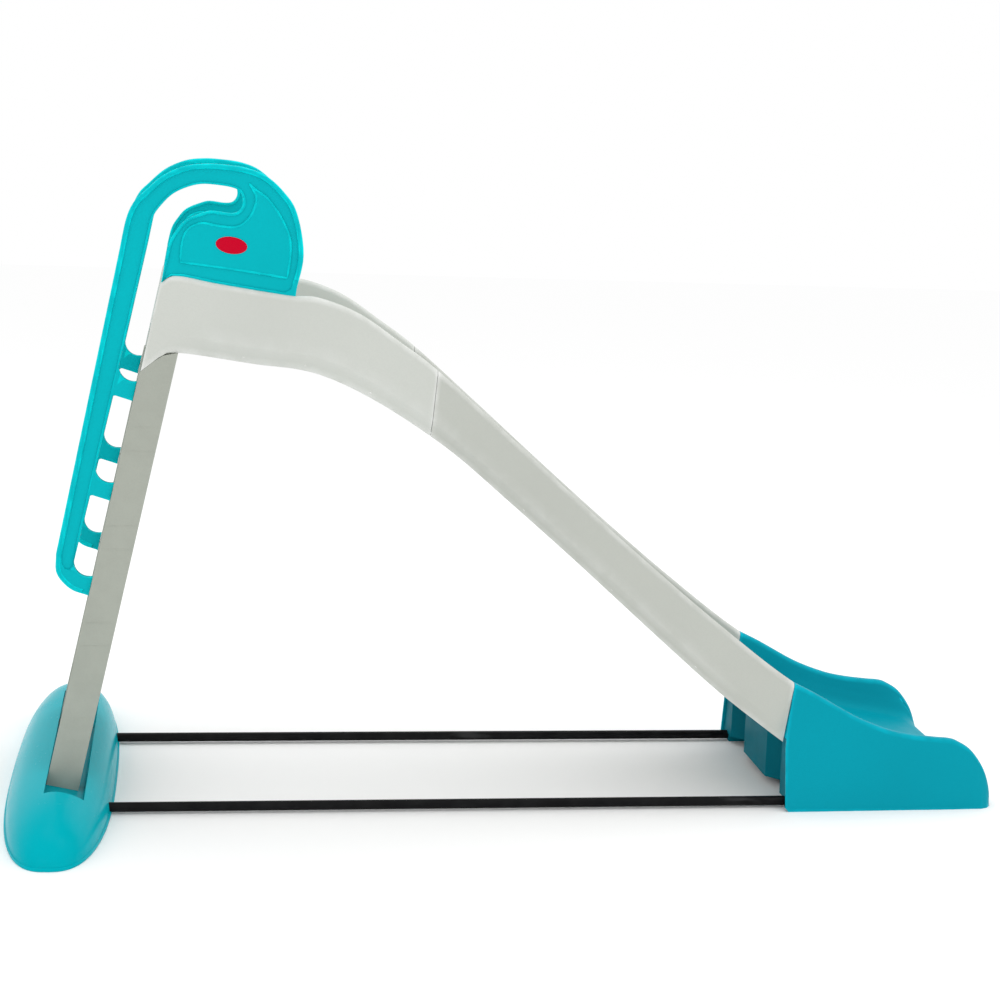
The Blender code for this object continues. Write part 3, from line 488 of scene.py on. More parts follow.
# %% Chute curves
RIM_LINE = flowing([
    (-0.690, 1.013), (-0.6615, 1.027), (-0.5815, 1.014), (-0.4525, 0.996), (-0.3975, 0.992),
    (-0.3215, 0.964), (-0.2455, 0.914), (-0.1715, 0.861), (-0.0455, 0.752), (0.0905, 0.632),
    (0.2445, 0.499), (0.4005, 0.371), (0.5555, 0.255), (0.680, 0.190),
], 10)
LOWER_LINE = flowing([
    (-0.7265, 0.848), (-0.7075, 0.863), (-0.6855, 0.879), (-0.6565, 0.884), (-0.5165, 0.865),
    (-0.4315, 0.856), (-0.3675, 0.838), (-0.2915, 0.802), (-0.2145, 0.756), (-0.1295, 0.697),
    (-0.0305, 0.614), (0.0955, 0.506), (0.1985, 0.415), (0.3035, 0.322), (0.4035, 0.236),
    (0.4835, 0.175), (0.5445, 0.131), (0.600, 0.095),
], 10)
SEAM_X, JOINT_X, GAP = -0.1715, 0.5610, 0.0003
LEAN_MARKS = [(-0.69, 0.21), (-0.345, 0.079), (0.155, 0.079), (0.5555, 0.146), (0.6, 0.146)]
TURN_IN = [(-0.660, 0.0), (-0.590, 0.0155), (0.38, 0.0155), (JOINT_X, 0.0)]
HALF_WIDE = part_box("upper_chute")[1].y
RIM_WIDE, RIM_ROUND, CHANNEL, WALL = 0.025, 0.010, 0.085, 0.004
BAND, FILLET, SIDE_GUESS, SIDE_ROUNDS = 0.77, 0.034, 0.135, 12
UPPER_START, UPPER_END = -0.6905, SEAM_X - GAP
LOWER_START, LOWER_END = SEAM_X + GAP, JOINT_X - GAP


def side_drop(x):
    """How far the side hangs below the rim at x, along its leaning end face."""
    rim, lean, drop = height_at(RIM_LINE, x), between(x, LEAN_MARKS), SIDE_GUESS
    for _ in range(SIDE_ROUNDS):
        drop = rim - height_at(LOWER_LINE, x - lean * drop)
    return drop


def rim_and_channel(wide, deep, rounding, fillet):
    """Rounded rim, channel wall, soft corner and floor, from the outside to the middle."""
    inner = wide - RIM_WIDE
    outer_arc, inner_arc = [], []
    for a in (math.radians(degrees) for degrees in (0, 18, 36, 54, 72, 90)):
        c, s = rounding * math.cos(a), rounding * math.sin(a)
        outer_arc.append((wide - rounding + c, rounding - s))
        inner_arc.append((inner + rounding - s, rounding - c))
    bend = flowing([
        (inner - 0.0005, rounding + 0.004), (inner - 0.004, deep - fillet),
        (inner - 0.012, deep - fillet * 0.35), (inner - 0.032, deep - 0.001),
        (inner - 0.08, deep + 0.001), (0.0, deep + 0.002),
    ], 5)
    return outer_arc + inner_arc + [tuple(p) for p in bend]


def chute_half(x):
    """Half the chute's section: the turned-in band, the soft crease, the side, the rim, the channel."""
    drop, inset = side_drop(x), between(x, TURN_IN)
    crease = drop * BAND
    side = [
        (HALF_WIDE - inset, drop), (HALF_WIDE - inset * 0.55, crease + (drop - crease) * 0.55),
        (HALF_WIDE - inset * 0.10, crease + 0.003), (HALF_WIDE - 0.0002, crease - 0.002),
        (HALF_WIDE, crease * 0.6), (HALF_WIDE, crease * 0.35), (HALF_WIDE, RIM_ROUND + 0.004),
    ]
    return side + rim_and_channel(HALF_WIDE, CHANNEL, RIM_ROUND, FILLET)


def on_face(x, points):
    """Places (y, drop) points on the leaning cross plane whose rim is at x."""
    rim, lean = height_at(RIM_LINE, x), between(x, LEAN_MARKS)
    return [(x - lean * d, y, rim - d) for y, d in points]


print("side height at the seam", round(side_drop(SEAM_X), 3))

# %% [markdown]
# The two grey mouldings of the chute. Underneath, thin cross walls stiffen the skin, as such
# mouldings usually have them: each one is the section's own path, moved half a wall inwards and cut
# off above the lower edge. They share the mesh of their moulding, because they are one piece with
# it. A small bevel softens the edges, so that the joint reads as two parts that meet.

# %% Upper and lower chute
CHUTE_ROWS, CROSS_SHARE = 90, 0.93


def cross_wall(bm, x):
    """A thin wall across the underside, its face on the leaning section at x."""
    half = chute_half(x)
    drop = side_drop(x) * CROSS_SHARE
    kept = [(y, d) for y, d in half[1:] if d < drop]
    kept.insert(0, (HALF_WIDE - between(x, TURN_IN) * 0.5, drop))
    path = under(both_sides(kept), WALL / 2)
    add_loft(bm, [on_face(x, path), on_face(x + WALL, path)])


def chute_piece(name, finish, start, stop, walls):
    """One moulding of the chute from start to stop, with cross walls at the given places."""
    bm = bmesh.new()
    outer, inner = [], []
    for i in range(CHUTE_ROWS + 1):
        x = start + (stop - start) * i / CHUTE_ROWS
        path = both_sides(chute_half(x))
        outer.append(on_face(x, path))
        inner.append(on_face(x, under(path, WALL)))
    add_sheet(bm, outer, inner)
    for x in walls:
        cross_wall(bm, x)
    piece = keep_piece(name + "_shell", bm, finish, [name], 42.0, 0.0008)
    print(piece.name, len(piece.data.polygons), "faces")


UPPER_WALLS = (-0.52, -0.41, -0.29, UPPER_END - WALL)
LOWER_WALLS = (LOWER_START, 0.01, 0.19, 0.37, LOWER_END - WALL)
chute_piece("upper_chute", "chute_grey", UPPER_START, UPPER_END, UPPER_WALLS)
# The lower moulding takes the darker grey, which is painted shade.
chute_piece("lower_chute", "lower_grey_shaded", LOWER_START, LOWER_END, LOWER_WALLS)

# %% [markdown]
# The end piece carries the same channel down to the ground. Its cheeks sweep from the joint to a
# round nose, its sides flare outwards towards the base, and its rear is closed by a folded skirt. The
# section is made like the chute's, with the drop replaced by real heights, and the folds are one
# zigzag wall in plan, lofted upwards.

# %% End piece curves
END_REAR, END_FRONT = 0.5446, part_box("end_piece")[1].x
END_RIM = flowing([
    (JOINT_X + GAP, height_at(RIM_LINE, JOINT_X)), (0.609, 0.228), (0.690, 0.184), (0.757, 0.158),
    (0.806, 0.147), (0.855, 0.141), (0.888, 0.138), (0.906, 0.132), (0.9345, 0.114),
    (0.961, 0.079), (0.9745, 0.043), (END_FRONT, 0.012),
], 8)
END_ROLL, END_NOSE = 0.935, 0.008
END_FLOOR = [
    (0.5555, 0.170), (0.64, 0.128), (0.72, 0.100), (0.807, 0.080), (0.885, 0.066), (END_ROLL, 0.057),
]
SHELF, CORNER = 0.138, 0.008
CHEEK_HALF = [(JOINT_X, HALF_WIDE), (0.75, 0.239)]
BASE_HALF = [(0.54, 0.268), (0.90, 0.262), (0.955, 0.260), (0.968, 0.254), (END_FRONT, 0.242)]
FLARE = [(0.0, 1.0), (0.26, 0.70), (0.50, 0.42), (0.75, 0.18), (1.0, 0.0)]
FLARE_STEPS = (0.0, 0.03, 0.15, 0.26, 0.38, 0.5, 0.75)
JOINT_LEAN = LEAN_MARKS[-1][1]


def exit_floor(x):
    """Height of the run-out's floor, which rolls over at the front like a quarter of an oval."""
    if x <= END_ROLL:
        return between(x, END_FLOOR)
    share = (x - END_ROLL) / (END_FRONT - END_ROLL)
    return END_NOSE + (END_FLOOR[-1][1] - END_NOSE) * math.sqrt(max(0.0, 1 - share ** 2))


def wall_half(x, rim, z):
    """Half the width over the flared side at x, at height z under a rim of that height."""
    top, base = between(x, CHEEK_HALF), between(x, BASE_HALF)
    return top + (base - top) * between(z / rim, FLARE)


def exit_half(spot):
    """Half the end piece's section as (across, height), from the ground to the middle."""
    rim = spot.y
    top = between(spot.x, CHEEK_HALF)
    rounding = min(RIM_ROUND, rim * 0.3)
    deep = max(rim - exit_floor(spot.x), rounding * 1.5 + 0.004)
    half = rim_and_channel(top, deep, rounding, min(FILLET, deep * 0.6))
    flare = [(wall_half(spot.x, rim, rim * part), rim * part) for part in FLARE_STEPS]
    return flare + [(y, rim - d) for y, d in half]


def on_exit(spot, points):
    """Places an end piece section; the joint face leans above the shelf, its lower corner is round."""
    lean = between(spot.x, [(JOINT_X, JOINT_LEAN), (0.68, 0.0)])
    placed = []
    for y, z in points:
        x = spot.x - lean * (spot.y - max(z, SHELF))
        reach = max(0.0, CORNER - (x - END_REAR))
        lowest = CORNER - math.sqrt(CORNER ** 2 - min(reach, CORNER) ** 2)
        placed.append((x, y, max(z, lowest)))
    return placed


print("floor of the run-out at its front", round(exit_floor(END_ROLL), 3))

# %% End piece
SHELF_THICK = 0.003
BLOCK_IN, BLOCK_OUT, BLOCK_FRONT, BLOCK_HIGH = 0.2175, 0.2555, 0.640, 0.0285


def folded_skirt(bm):
    """The folded wall that closes the rear, a zigzag in plan lofted upwards."""
    ridge, groove = END_REAR + 0.006, END_REAR + 0.030
    rings = []
    for z in (0.017, 0.045, 0.068, 0.10, SHELF + SHELF_THICK):
        reach = wall_half(END_REAR, END_RIM[0].y, z) - 0.0025
        marks = [(reach, ridge), (0.196, ridge), (0.172, groove), (0.112, groove), (0.086, ridge)]
        line = marks + [(-y, x) for y, x in reversed(marks)]
        outline = [(x, y) for y, x in line] + [(x + WALL, y) for y, x in reversed(line)]
        rings.append([(x, y, z) for x, y in outline])
    add_loft(bm, rings)


def joint_plates(bm):
    """The face that closes the end piece below the chute's end and beside it."""
    # Each plate: lower and upper height, right and left limit across; 1.0 means as far as the side.
    plates = [(SHELF, 0.158, -1.0, 1.0), (0.157, 0.225, 0.2035, 1.0), (0.157, 0.225, -1.0, -0.2035)]
    for low, high, right, left in plates:
        rings = []
        for z in (low, (low + high) / 2, high):
            reach = wall_half(END_REAR, END_RIM[0].y, z) - 0.002
            a, b = max(right, -reach), min(left, reach)
            x = END_REAR + JOINT_LEAN * (z - SHELF) + 0.0012
            rings.append([(x, a, z), (x, b, z), (x + 0.003, b, z), (x + 0.003, a, z)])
        add_loft(bm, rings)


def end_piece():
    """The run-out as one sheet with its joint face, then the skirt, shelf and tube blocks in a teal
    darkened as painted shade.
    """
    bm = bmesh.new()
    outer, inner = [], []
    for spot in END_RIM:
        path = both_sides(exit_half(spot))
        outer.append(on_exit(spot, path))
        inner.append(on_exit(spot, under(path, -WALL)))
    add_sheet(bm, outer, inner)
    joint_plates(bm)
    piece = keep_piece("end_piece_shell", bm, "exit_teal", ["end_piece"], 42.0, 0.0010)
    print(piece.name, len(piece.data.polygons), "faces")
    bm = bmesh.new()
    folded_skirt(bm)
    add_box(bm, (END_REAR + 0.001, -0.236, SHELF), (END_REAR + 0.036, 0.236, SHELF + SHELF_THICK))
    for side in (-1, 1):
        low, high = sorted((side * BLOCK_IN, side * BLOCK_OUT))
        add_box(bm, (END_REAR + 0.008, low, 0.0005), (BLOCK_FRONT, high, BLOCK_HIGH))
    # Skirt, shelf and tube blocks take the end piece's teal darkened as painted shade.
    keep_piece("end_piece_skirt", bm, "skirt_teal_shaded", [], 42.0, 0.0006)


end_piece()

# %% [markdown]
# The foot is one long glossy oval dome. A superellipse gives its plan, squarer than an ellipse, and
# the same rule gives its cross section, so both flow into each other. The rings climb from the thin
# flange at the ground to the crown. The ladder's pocket is cut with an exact Boolean, because a
# clean leaning hole in a curved dome is hard to get from rings alone.

# %% Foot
FOOT_X, FOOT_HALF_X, FOOT_HALF_Y = -0.873, 0.104, 0.55
FOOT_TALL, FOOT_LIP, FOOT_LIP_HIGH = 0.085, 0.003, 0.006
FOOT_SIDES, FOOT_PLAN, FOOT_DOME, FOOT_TAPER, FOOT_CROWN = 144, 2.7, 2.2, 2.2, 86.0
LEAN = 0.2138
LEAN_ANGLE = math.atan(LEAN)
RAIL_REAR_X0, RAIL_DEEP, RAIL_FOOT = -0.9081, 0.0625, 0.050
# Clearances of the pocket's hole and, further out, of the wall left round it, in the ladder's axes.
POCKET_REAR, POCKET_FRONT, POCKET_HALF, POCKET_TOP = 0.0017, 0.0115, 0.355, 0.10
AROUND_REAR, AROUND_FRONT, AROUND_HALF, AROUND_BELOW = 0.0057, 0.0155, 0.359, 0.0043


def foot_ring(inset, z, half_x, half_y):
    """A superellipse at height z, drawn in by inset, and more at the long ends."""
    ring = []
    for i in range(FOOT_SIDES):
        turn = math.tau * i / FOOT_SIDES
        c, s = math.cos(turn), math.sin(turn)
        x = math.copysign(abs(c) ** (2 / FOOT_PLAN), c)
        y = math.copysign(abs(s) ** (2 / FOOT_PLAN), s)
        ring.append((FOOT_X + x * (half_x - inset), y * (half_y - inset * FOOT_TAPER), z))
    return ring


def foot_dome(wall, lowest, levels=22):
    """Rings from the flange to the crown, moved inwards by a wall's thickness."""
    half_x, half_y = FOOT_HALF_X - FOOT_LIP - wall, FOOT_HALF_Y - FOOT_LIP - wall
    rings = [foot_ring(0.0, lowest, half_x, half_y)]
    for i in range(1, levels + 1):
        turn = math.radians(FOOT_CROWN * i / levels)
        inset = half_x * (1 - math.cos(turn) ** (2 / FOOT_DOME))
        z = (FOOT_TALL - wall) * math.sin(turn) ** (2 / FOOT_DOME)
        rings.append(foot_ring(inset, z, half_x, half_y))
    return rings


def rail_rear(z):
    """Where the rear face of the leaning rails stands at height z."""
    return RAIL_REAR_X0 + LEAN * z


def ladder_frame():
    """The ladder's own axes: the middle of a rail's lower end, Z up the rail."""
    middle = rail_rear(RAIL_FOOT) + RAIL_DEEP / 2
    return Matrix.Translation((middle, 0.0, RAIL_FOOT)) @ Matrix.Rotation(LEAN_ANGLE, 4, "Y")


def boolean(base, tool, how):
    """Applies a Boolean and removes the tool."""
    step = base.modifiers.new("step", "BOOLEAN")
    step.operation, step.solver, step.object = how, "EXACT", tool
    graph = bpy.context.evaluated_depsgraph_get()
    result = bpy.data.meshes.new_from_object(base.evaluated_get(graph))
    base.modifiers.clear()
    base.data = result
    bpy.data.objects.remove(tool, do_unlink=True)


def loose(bm, name="tool"):
    """A plain object that only serves as a step."""
    bmesh.ops.recalc_face_normals(bm, faces=bm.faces)
    mesh = bpy.data.meshes.new(name)
    bm.to_mesh(mesh)
    bm.free()
    made = bpy.data.objects.new(name, mesh)
    bpy.context.scene.collection.objects.link(made)
    return made


def boxed(low, high, matrix):
    """A box as a step object."""
    bm = bmesh.new()
    add_box(bm, low, high, matrix)
    return loose(bm)


def foot():
    """The dome, hollowed from below except round the ladder's pocket, which is cut last."""
    half = RAIL_DEEP / 2 * math.cos(LEAN_ANGLE)
    bm = bmesh.new()
    lip = [foot_ring(0.0, 0.0, FOOT_HALF_X - 0.0006, FOOT_HALF_Y - 0.0006)]
    lip += [foot_ring(0.0, z, FOOT_HALF_X, FOOT_HALF_Y) for z in (0.0008, FOOT_LIP_HIGH - 0.001)]
    lip.append(foot_ring(0.0, FOOT_LIP_HIGH, FOOT_HALF_X - 0.001, FOOT_HALF_Y - 0.001))
    add_loft(bm, lip + foot_dome(0.0, FOOT_LIP_HIGH + 0.0006))
    shell = loose(bm, "foot_shell")
    bm = bmesh.new()
    add_loft(bm, foot_dome(WALL, -0.01, 12))
    void = loose(bm)
    frame_of_ladder = ladder_frame()
    low = (-half - AROUND_REAR, -AROUND_HALF, -AROUND_BELOW)
    high = (half + AROUND_FRONT, AROUND_HALF, POCKET_TOP)
    boolean(void, boxed(low, high, frame_of_ladder), "DIFFERENCE")
    boolean(shell, void, "DIFFERENCE")
    low = (-half - POCKET_REAR, -POCKET_HALF, -GAP)
    high = (half + POCKET_FRONT, POCKET_HALF, POCKET_TOP)
    boolean(shell, boxed(low, high, frame_of_ladder), "DIFFERENCE")
    bm = bmesh.new()
    bm.from_mesh(shell.data)
    bpy.data.objects.remove(shell, do_unlink=True)
    piece = keep_piece("foot_shell", bm, "foot_teal", ["base_foot"], 36.0)
    print(piece.name, len(piece.data.polygons), "faces")


foot()

# %% [markdown]
# The ladder's rails, the steps and the small hardware have the right shape in the CAD model already,
# only with dead sharp edges. So each rail and step is a copy of its CAD mesh, cleaned of the
# triangles that packing leaves, with a bevel on its real edges. The faint marks that the mould left
# beside each step are thin raised lines on the rail's outer face.

# %% Ladder
STEP_RISE, LINE_PAIR, LINE_HIGH = 0.186, (0.0, 0.045), 0.0012
RAIL_BEVEL, TREAD_BEVEL, FLAT_ANGLE = 0.0026, 0.0006, 30.0
SIDES, STEPS = (("left", 1), ("right", -1)), (1, 2, 3, 4)


def clean_copy(node_name):
    """A bmesh of a CAD node with its flat faces whole again."""
    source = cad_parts[node_name]
    bm = bmesh.new()
    bm.from_mesh(source.data)
    bmesh.ops.remove_doubles(bm, verts=bm.verts, dist=0.00002)
    bmesh.ops.dissolve_limit(bm, angle_limit=math.radians(0.6), verts=bm.verts, edges=bm.edges)
    return bm


def mould_line(bm, z, side):
    """A thin raised line across a rail's outer face."""
    rear = rail_rear(z)
    low, far = sorted((side * (HALF_WIDE - 0.0005), side * (HALF_WIDE + 0.0003)))
    add_box(bm, (rear + 0.0035, low, z), (rear + RAIL_DEEP - 0.0035, far, z + LINE_HIGH))


def ladder():
    """Both rails with their mould lines, and the four steps."""
    finish, slot, sharp = "ladder_grey", "ladder_plastic", FLAT_ANGLE
    for word, side in SIDES:
        node_name = "ladder_rail_" + word
        bm = clean_copy(node_name)
        keep_piece("rail_" + word, bm, finish, [node_name], sharp, RAIL_BEVEL, 3)
        lines = bmesh.new()
        for step in STEPS:
            for drop in LINE_PAIR:
                mould_line(lines, STEP_RISE * step - drop, side)
        keep_piece("rail_lines_" + word, lines, finish, [], sharp)
    for step in STEPS:
        node_name = f"ladder_tread_{step}"
        keep_piece(f"tread_{step}", clean_copy(node_name), finish, [node_name], sharp, TREAD_BEVEL)


ladder()

# %% [markdown]
# A handrail is a flat moulding: a thin web with a raised rim around it, a long grab slot that ends in
# a hook, and open bays down the ladder. Blender's filled 2-D curves suit it well. A curve object
# takes the outline, cuts every inner loop out as a hole, gives it thickness with Extrude and rounds
# its edges with Bevel, all without a Boolean. The rim is the same outline with the sunk web as its
# hole.

# %% Handrail outlines
PANEL_Y = HALF_WIDE - RIM_WIDE / 2
RIM_HALF, ISLAND_HALF, WEB_HALF = 0.0068, 0.005, 0.0032
PANEL_REAR, PANEL_LONG, PANEL_SINK, PANEL_STEPS = -0.6890, 0.2470, 0.0014, 24
PANEL_FOOT, RAIL_GAP = 0.4215, 0.0004
STRIP_X, STRIP_Z, STRIP_LEAN = -0.7095, 1.109, 0.2185
BAYS = [(0.615, 0.459), (0.803, 0.638), (None, 0.829)]
OUTER_EDGE = flowing([
    (-0.4420, 1.000), (-0.4285, 1.071), (-0.4425, 1.148), (-0.4685, 1.187), (-0.5005, 1.2140),
    (-0.5340, 1.2265), (-0.5680, 1.2310), (-0.6080, 1.2325), (-0.6475, 1.2270), (-0.6875, 1.2085),
    (-0.7200, 1.1795), (-0.7395, 1.1590), (-0.7535, 1.127), (-0.7660, 1.0650),
], 6)
OUTER_FOOT = flowing([(-0.8785, 0.502), (-0.8770, 0.465), (-0.8525, 0.436), (-0.8200, 0.4235)], 6)
HOOK_EDGE = flowing([
    (-0.6815, 1.057), (-0.6735, 1.090), (-0.6610, 1.111), (-0.6440, 1.130), (-0.6145, 1.143),
    (-0.5968, 1.147), (-0.5690, 1.144), (-0.5525, 1.146), (-0.5435, 1.156), (-0.5420, 1.169),
    (-0.5470, 1.182), (-0.5580, 1.1895), (-0.5855, 1.194), (-0.6185, 1.195), (-0.6475, 1.187),
    (-0.6725, 1.173), (-0.6945, 1.149), (-0.7045, 1.132), (-0.7105, 1.108), (-0.7202, 1.060),
], 4)
SLOT_TURN = 40


def strip_inner(z):
    """The inner edge of the long strip, which leans like the ladder."""
    return STRIP_X - STRIP_LEAN * (STRIP_Z - z)


def bay(top, bottom, corner=0.028):
    """The opening between two bars; without a top it runs on into the grab slot."""
    left = strip_inner(bottom + corner)
    curve = [(rail_rear(bottom) - RAIL_GAP, bottom)]
    for degrees in range(90, -1, -10):
        a = math.radians(degrees)
        curve.append((left + corner - corner * math.cos(a), bottom + corner - corner * math.sin(a)))
    if top is None:
        return curve
    fall = 0.26 * (rail_rear(top) - strip_inner(top))
    soft = [(0.0, -0.006), (0.0008, -0.0028), (0.003, -0.0008), (0.006, -0.0006)]
    curve += [(strip_inner(top) + dx, top + dz) for dx, dz in soft]
    return curve + [(rail_rear(top - fall) - RAIL_GAP, top - fall)]


def panel_outline():
    """Once round the panel: outer edge, foot, the three bays, the hook and the chute's rim."""
    edge = [tuple(p) for p in OUTER_EDGE[1:]] + [tuple(p) for p in OUTER_FOOT]
    edge.append((rail_rear(PANEL_FOOT) - RAIL_GAP, PANEL_FOOT))
    for top, bottom in BAYS:
        edge += bay(top, bottom)
    edge += [tuple(p) for p in reversed(HOOK_EDGE)]
    for i in range(PANEL_STEPS + 1):
        x = PANEL_REAR + PANEL_LONG * i / PANEL_STEPS
        edge.append((x, height_at(RIM_LINE, x) - PANEL_SINK))
    return edge


def inset(marked):
    """A closed outline moved inwards, each (x, z, distance) point by its own distance."""
    count = len(marked)
    area = sum(
        marked[i][0] * marked[(i + 1) % count][1] - marked[(i + 1) % count][0] * marked[i][1]
        for i in range(count)
    )
    sign = 1 if area > 0 else -1
    moved = []
    for i, (x, z, by) in enumerate(marked):
        here = Vector((x, z))
        before, after = Vector(marked[i - 1][:2]), Vector(marked[(i + 1) % count][:2])
        normals = [
            Vector((-(b - a).y, (b - a).x)).normalized() * sign for a, b in ((before, here), (here, after))
        ]
        middle = (normals[0] + normals[1]).normalized()
        moved.append(tuple(here + middle * by / max(middle.dot(normals[0]), 0.6)))
    return moved


def web_outline():
    """The sunk web inside the raised rims, down the long strip to its foot."""
    rim, thin, slot, bottom, along = 0.0098, 0.0038, 0.0052, 0.0052, 0.0190
    marked = [(p.x, p.y, rim) for p in OUTER_EDGE]
    marked += [(-0.8680, 0.500, 0.0), (-0.8676, 0.485, 0.0), (-0.8620, 0.474, 0.0), (-0.8535, 0.473, 0.0)]
    marked += [(-0.8478, 0.483, 0.0), (strip_inner(0.52), 0.52, thin), (strip_inner(0.95), 0.95, thin)]
    hook = list(reversed(HOOK_EDGE))
    for i, p in enumerate(hook):
        share = min(1.0, max(0.0, (i - SLOT_TURN + 8) / 10))
        marked.append((p.x, p.y, thin + (slot - thin) * share))
    for i in range(13):
        x = PANEL_REAR + along * i
        marked.append((x, height_at(RIM_LINE, x) - PANEL_SINK, bottom))
    return inset(marked)


print("panel outline", len(panel_outline()), "points, web", len(web_outline()), "points")

# %% Handrails
GRID = 0.010
WEB_ROUND, RIM_TURN, ISLAND_TURN = 0.0012, 0.0018, 0.0010
RIDGE_IN, RIDGE_WIDE, RIDGE_TALL = 0.0048, 0.0044, 0.0026
LIP_IN, LIP_WIDE, ISLAND_BEAD = 0.0016, 0.0020, 0.0022
CREST_LINE = [
    (-0.6545, 1.052), (-0.6515, 1.088), (-0.6415, 1.112), (-0.6175, 1.124), (-0.5935, 1.121),
    (-0.5605, 1.118), (-0.5405, 1.125), (-0.5245, 1.145), (-0.5175, 1.171), (-0.5235, 1.188),
    (-0.5305, 1.198),
]
BACK_LINE = [
    (-0.5305, 1.198), (-0.5205, 1.189), (-0.4965, 1.172), (-0.4715, 1.139), (-0.4545, 1.100),
    (-0.4535, 1.063), (-0.4585, 1.028),
]
FLOOR_LINE = [(-0.4585, 1.028), (-0.556, 1.041), (-0.6545, 1.052)]


def flat_moulding(name, loops, y, half, rounding):
    """A filled curve with thickness and rounded edges, as a mesh that stands upright at y."""
    data = bpy.data.curves.new(name, "CURVE")
    data.dimensions, data.fill_mode = "2D", "BOTH"
    data.extrude, data.bevel_depth, data.bevel_resolution = half - rounding, rounding, 2
    data.offset = -rounding
    for loop in loops:
        line = data.splines.new("POLY")
        line.points.add(len(loop) - 1)
        for point, (x, z) in zip(line.points, loop):
            point.co = (x, z, 0.0, 1.0)
        line.use_cyclic_u = True
    made = bpy.data.objects.new(name, data)
    bpy.context.scene.collection.objects.link(made)
    graph = bpy.context.evaluated_depsgraph_get()
    bm = bmesh.new()
    bm.from_mesh(made.evaluated_get(graph).to_mesh())
    bpy.data.objects.remove(made, do_unlink=True)
    bmesh.ops.remove_doubles(bm, verts=bm.verts, dist=0.00001)
    upright = Matrix.Translation((0, y, 0)) @ Matrix.Rotation(math.radians(90), 4, "X")
    bmesh.ops.transform(bm, matrix=upright, verts=bm.verts)
    return bm


def add_bead(bm, line, y, radius, tall, closed=False):
    """A half-round raised line along (x, z) points on a web at y."""
    turns = [math.radians(a) for a in range(0, 181, 30)]
    rows = []
    count = len(line)
    for i, p in enumerate(line):
        here = Vector(p)
        if closed:
            before, after = Vector(line[i - 1]), Vector(line[(i + 1) % count])
        else:
            before, after = Vector(line[max(i - 1, 0)]), Vector(line[min(i + 1, count - 1)])
        along = (after - before).normalized()
        across = Vector((-along.y, along.x))
        rows.append([
            (here.x + across.x * radius * math.cos(a), y + tall * math.sin(a),
             here.y + across.y * radius * math.cos(a)) for a in turns
        ])
    if closed:
        rows.append(rows[0])
    verts = add_grid(bm, rows)
    for row in verts:
        row.append(row[0])
    for low, high in zip(verts, verts[1:]):
        bm.faces.new((low[-2], low[0], high[0], high[-2]))


def merged(target, other):
    """Adds one bmesh to another."""
    step = bpy.data.meshes.new("step")
    other.to_mesh(step)
    other.free()
    target.from_mesh(step)
    bpy.data.meshes.remove(step)


def gridded(bm, step):
    """Cuts the large flat faces into a grid, so that the painted highlight and painted shade stay beside
    the edges and hollows that carry them.
    """
    for axis in (0, 2):
        places = [vert.co[axis] for vert in bm.verts]
        count = int((max(places) - min(places)) / step)
        for i in range(1, count):
            spot, across = Vector(), Vector()
            spot[axis], across[axis] = min(places) + step * i, 1.0
            everything = bm.verts[:] + bm.edges[:] + bm.faces[:]
            bmesh.ops.bisect_plane(bm, geom=everything, plane_co=spot, plane_no=across)


def handrail(word, side):
    """Web, rims, raised island and beads of one handrail, all in one mesh."""
    y = side * PANEL_Y
    bm = flat_moulding("web", [panel_outline()], y, WEB_HALF, WEB_ROUND)
    merged(bm, flat_moulding("rims", [panel_outline(), web_outline()], y, RIM_HALF, RIM_TURN))
    crest, back = flowing(CREST_LINE, 4), flowing(BACK_LINE, 4)
    floor = flowing(FLOOR_LINE, 3)[1:-1]
    island = [tuple(p) for p in crest[:-3] + back[3:] + floor]
    merged(bm, flat_moulding("island", [island], y, ISLAND_HALF, ISLAND_TURN))
    ridge = under([tuple(p) for p in OUTER_EDGE[2:] + OUTER_FOOT[:-2]], -RIDGE_IN)
    lip = under([tuple(p) for p in HOOK_EDGE[:SLOT_TURN - 2]], LIP_IN)
    contour = crest[:-1] + back + floor
    for face in (-1, 1):
        on_island, on_rim = y + face * (ISLAND_HALF - 0.0006), y + face * (RIM_HALF - 0.0004)
        add_bead(bm, contour, on_island, ISLAND_BEAD, face * ISLAND_BEAD, closed=True)
        add_bead(bm, ridge, on_rim, RIDGE_WIDE, face * RIDGE_TALL)
        add_bead(bm, lip, on_rim, LIP_WIDE, face * LIP_WIDE)
    gridded(bm, GRID)
    node_name = "handrail_" + word
    piece = keep_piece("handrail_panel_" + word, bm, "panel_teal", [node_name], 50.0)
    print(piece.name, len(piece.data.polygons), "faces")


for word, side in SIDES:
    handrail(word, side)

# %% [markdown]
# The badge is a small glossy red plate, a tilted oval with a soft crown. It is left blank. Rings that
# shrink while they rise give it a pillow shape, and a fine raised line just inside the edge takes the
# place of any lettering.

# %% Badges
BADGE_X, BADGE_Z, BADGE_TILT = -0.5615, 1.085, math.radians(-7)
BADGE_LONG, BADGE_TALL, BADGE_SIDES = 0.029, 0.0155, 64
BADGE_RINGS = [
    (1.0, 0.0), (1.0, 0.0008), (0.985, 0.0012), (0.93, 0.0014), (0.90, 0.0010), (0.86, 0.0011),
    (0.6, 0.0019), (0.3, 0.0022),
]


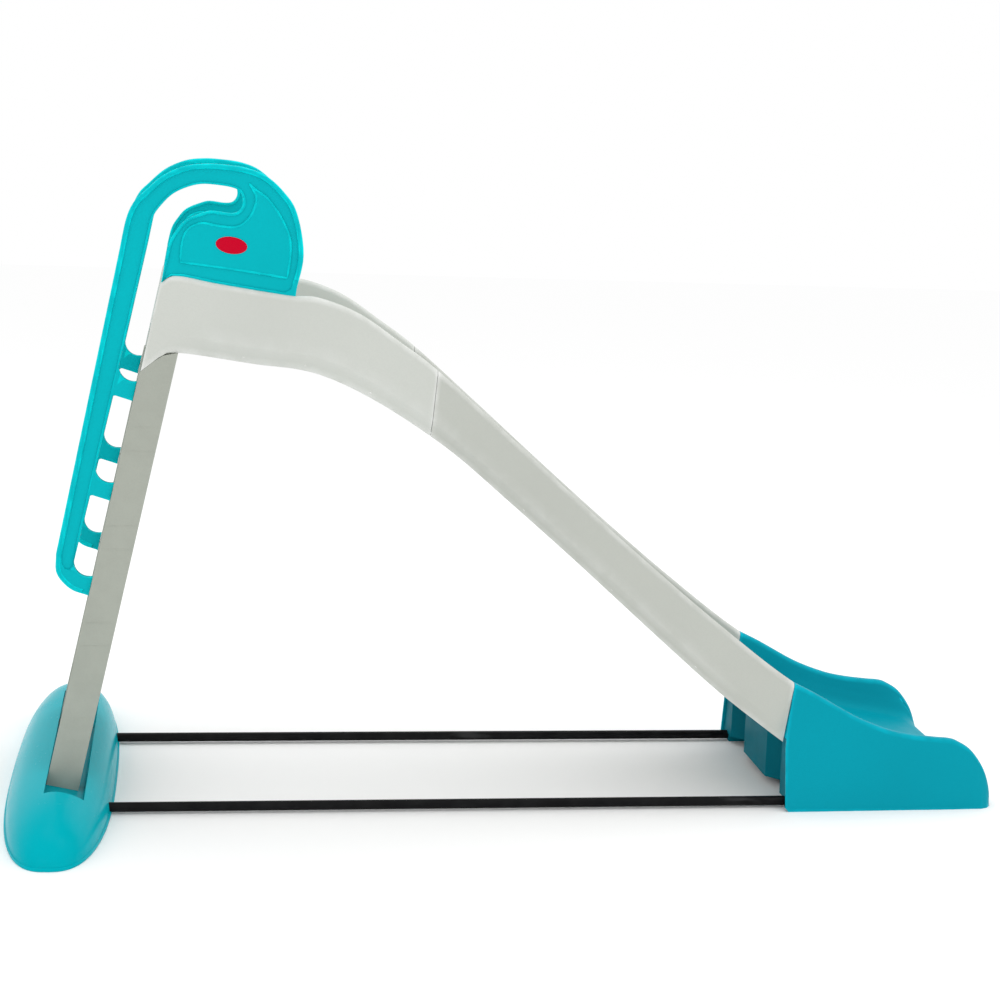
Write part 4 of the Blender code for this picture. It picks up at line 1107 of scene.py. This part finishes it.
def badge(word, side):
    """An oval plate with a raised line and a crown. Near its edge the rings keep an even margin."""
    bm = bmesh.new()
    base = side * (PANEL_Y + ISLAND_HALF)
    rings = []
    for size, rise in BADGE_RINGS:
        tall = BADGE_TALL - BADGE_LONG * (1 - size) * 0.55 if size > 0.8 else BADGE_TALL * size
        ring = []
        for i in range(BADGE_SIDES):
            a = math.tau * i / BADGE_SIDES
            u, v = BADGE_LONG * math.cos(a) * size, tall * math.sin(a)
            x = BADGE_X + u * math.cos(BADGE_TILT) - v * math.sin(BADGE_TILT)
            z = BADGE_Z + u * math.sin(BADGE_TILT) + v * math.cos(BADGE_TILT)
            ring.append((x, base + side * rise, z))
        rings.append(ring)
    add_loft(bm, rings)
    keep_piece("badge_plate_" + word, bm, "badge_red", ["badge_" + word], 50.0)


for word, side in SIDES:
    badge(word, side)
print("badges at", round(BADGE_X, 3), round(BADGE_Z, 3))

# %% [markdown]
# The ground tubes run from the foot to the end piece. A tube is best as a sheet of rings: an outer
# and an inner wall with a rounded lip, with enough sides to look round close up. The screws, bolts
# and nuts stay as the CAD made them and only take the zinc finish.

# %% Tubes and hardware
TUBE_Z, TUBE_RADIUS, TUBE_BORE, TUBE_LIP = 0.0128, 0.0095, 0.0083, 0.0005
TUBE_SIDES, TUBE_PARTS = 40, 30


def tube(word):
    """One tube: rings along the outside, round the lips and back through the bore."""
    low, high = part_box("tie_tube_" + word)
    y, length, shoulder = (low.y + high.y) / 2, high.x - low.x, TUBE_RADIUS - TUBE_LIP
    stations = [(TUBE_BORE, 0.0), (shoulder, 0.0), (TUBE_RADIUS, TUBE_LIP)]
    stations += [(TUBE_RADIUS, length * i / TUBE_PARTS) for i in range(1, TUBE_PARTS)]
    stations += [(TUBE_RADIUS, length - TUBE_LIP), (shoulder, length)]
    stations += [(TUBE_BORE, length), (TUBE_BORE, length / 2)]
    turns = [math.tau * i / TUBE_SIDES for i in range(TUBE_SIDES)]
    bm = bmesh.new()
    rows = []
    for r, along in stations:
        ring = [(low.x + along, y + r * math.cos(a), TUBE_Z + r * math.sin(a)) for a in turns]
        rows.append([bm.verts.new(point) for point in ring])
    for first, second in zip(rows, rows[1:] + rows[:1]):
        for i in range(TUBE_SIDES):
            j = (i + 1) % TUBE_SIDES
            bm.faces.new((first[i], first[j], second[j], second[i]))
    keep_piece("tube_" + word, bm, "tube_black", ["tie_tube_" + word], 50.0)


for word in ("left", "right"):
    tube(word)
hardware = [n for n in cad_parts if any(kind in n for kind in ("screw", "bolt", "nut"))]
for name in hardware:
    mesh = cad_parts[name].data
    mesh.materials.clear()
    mesh.materials.append(FINISH["screw_zinc"])
print("hardware nodes", len(hardware))
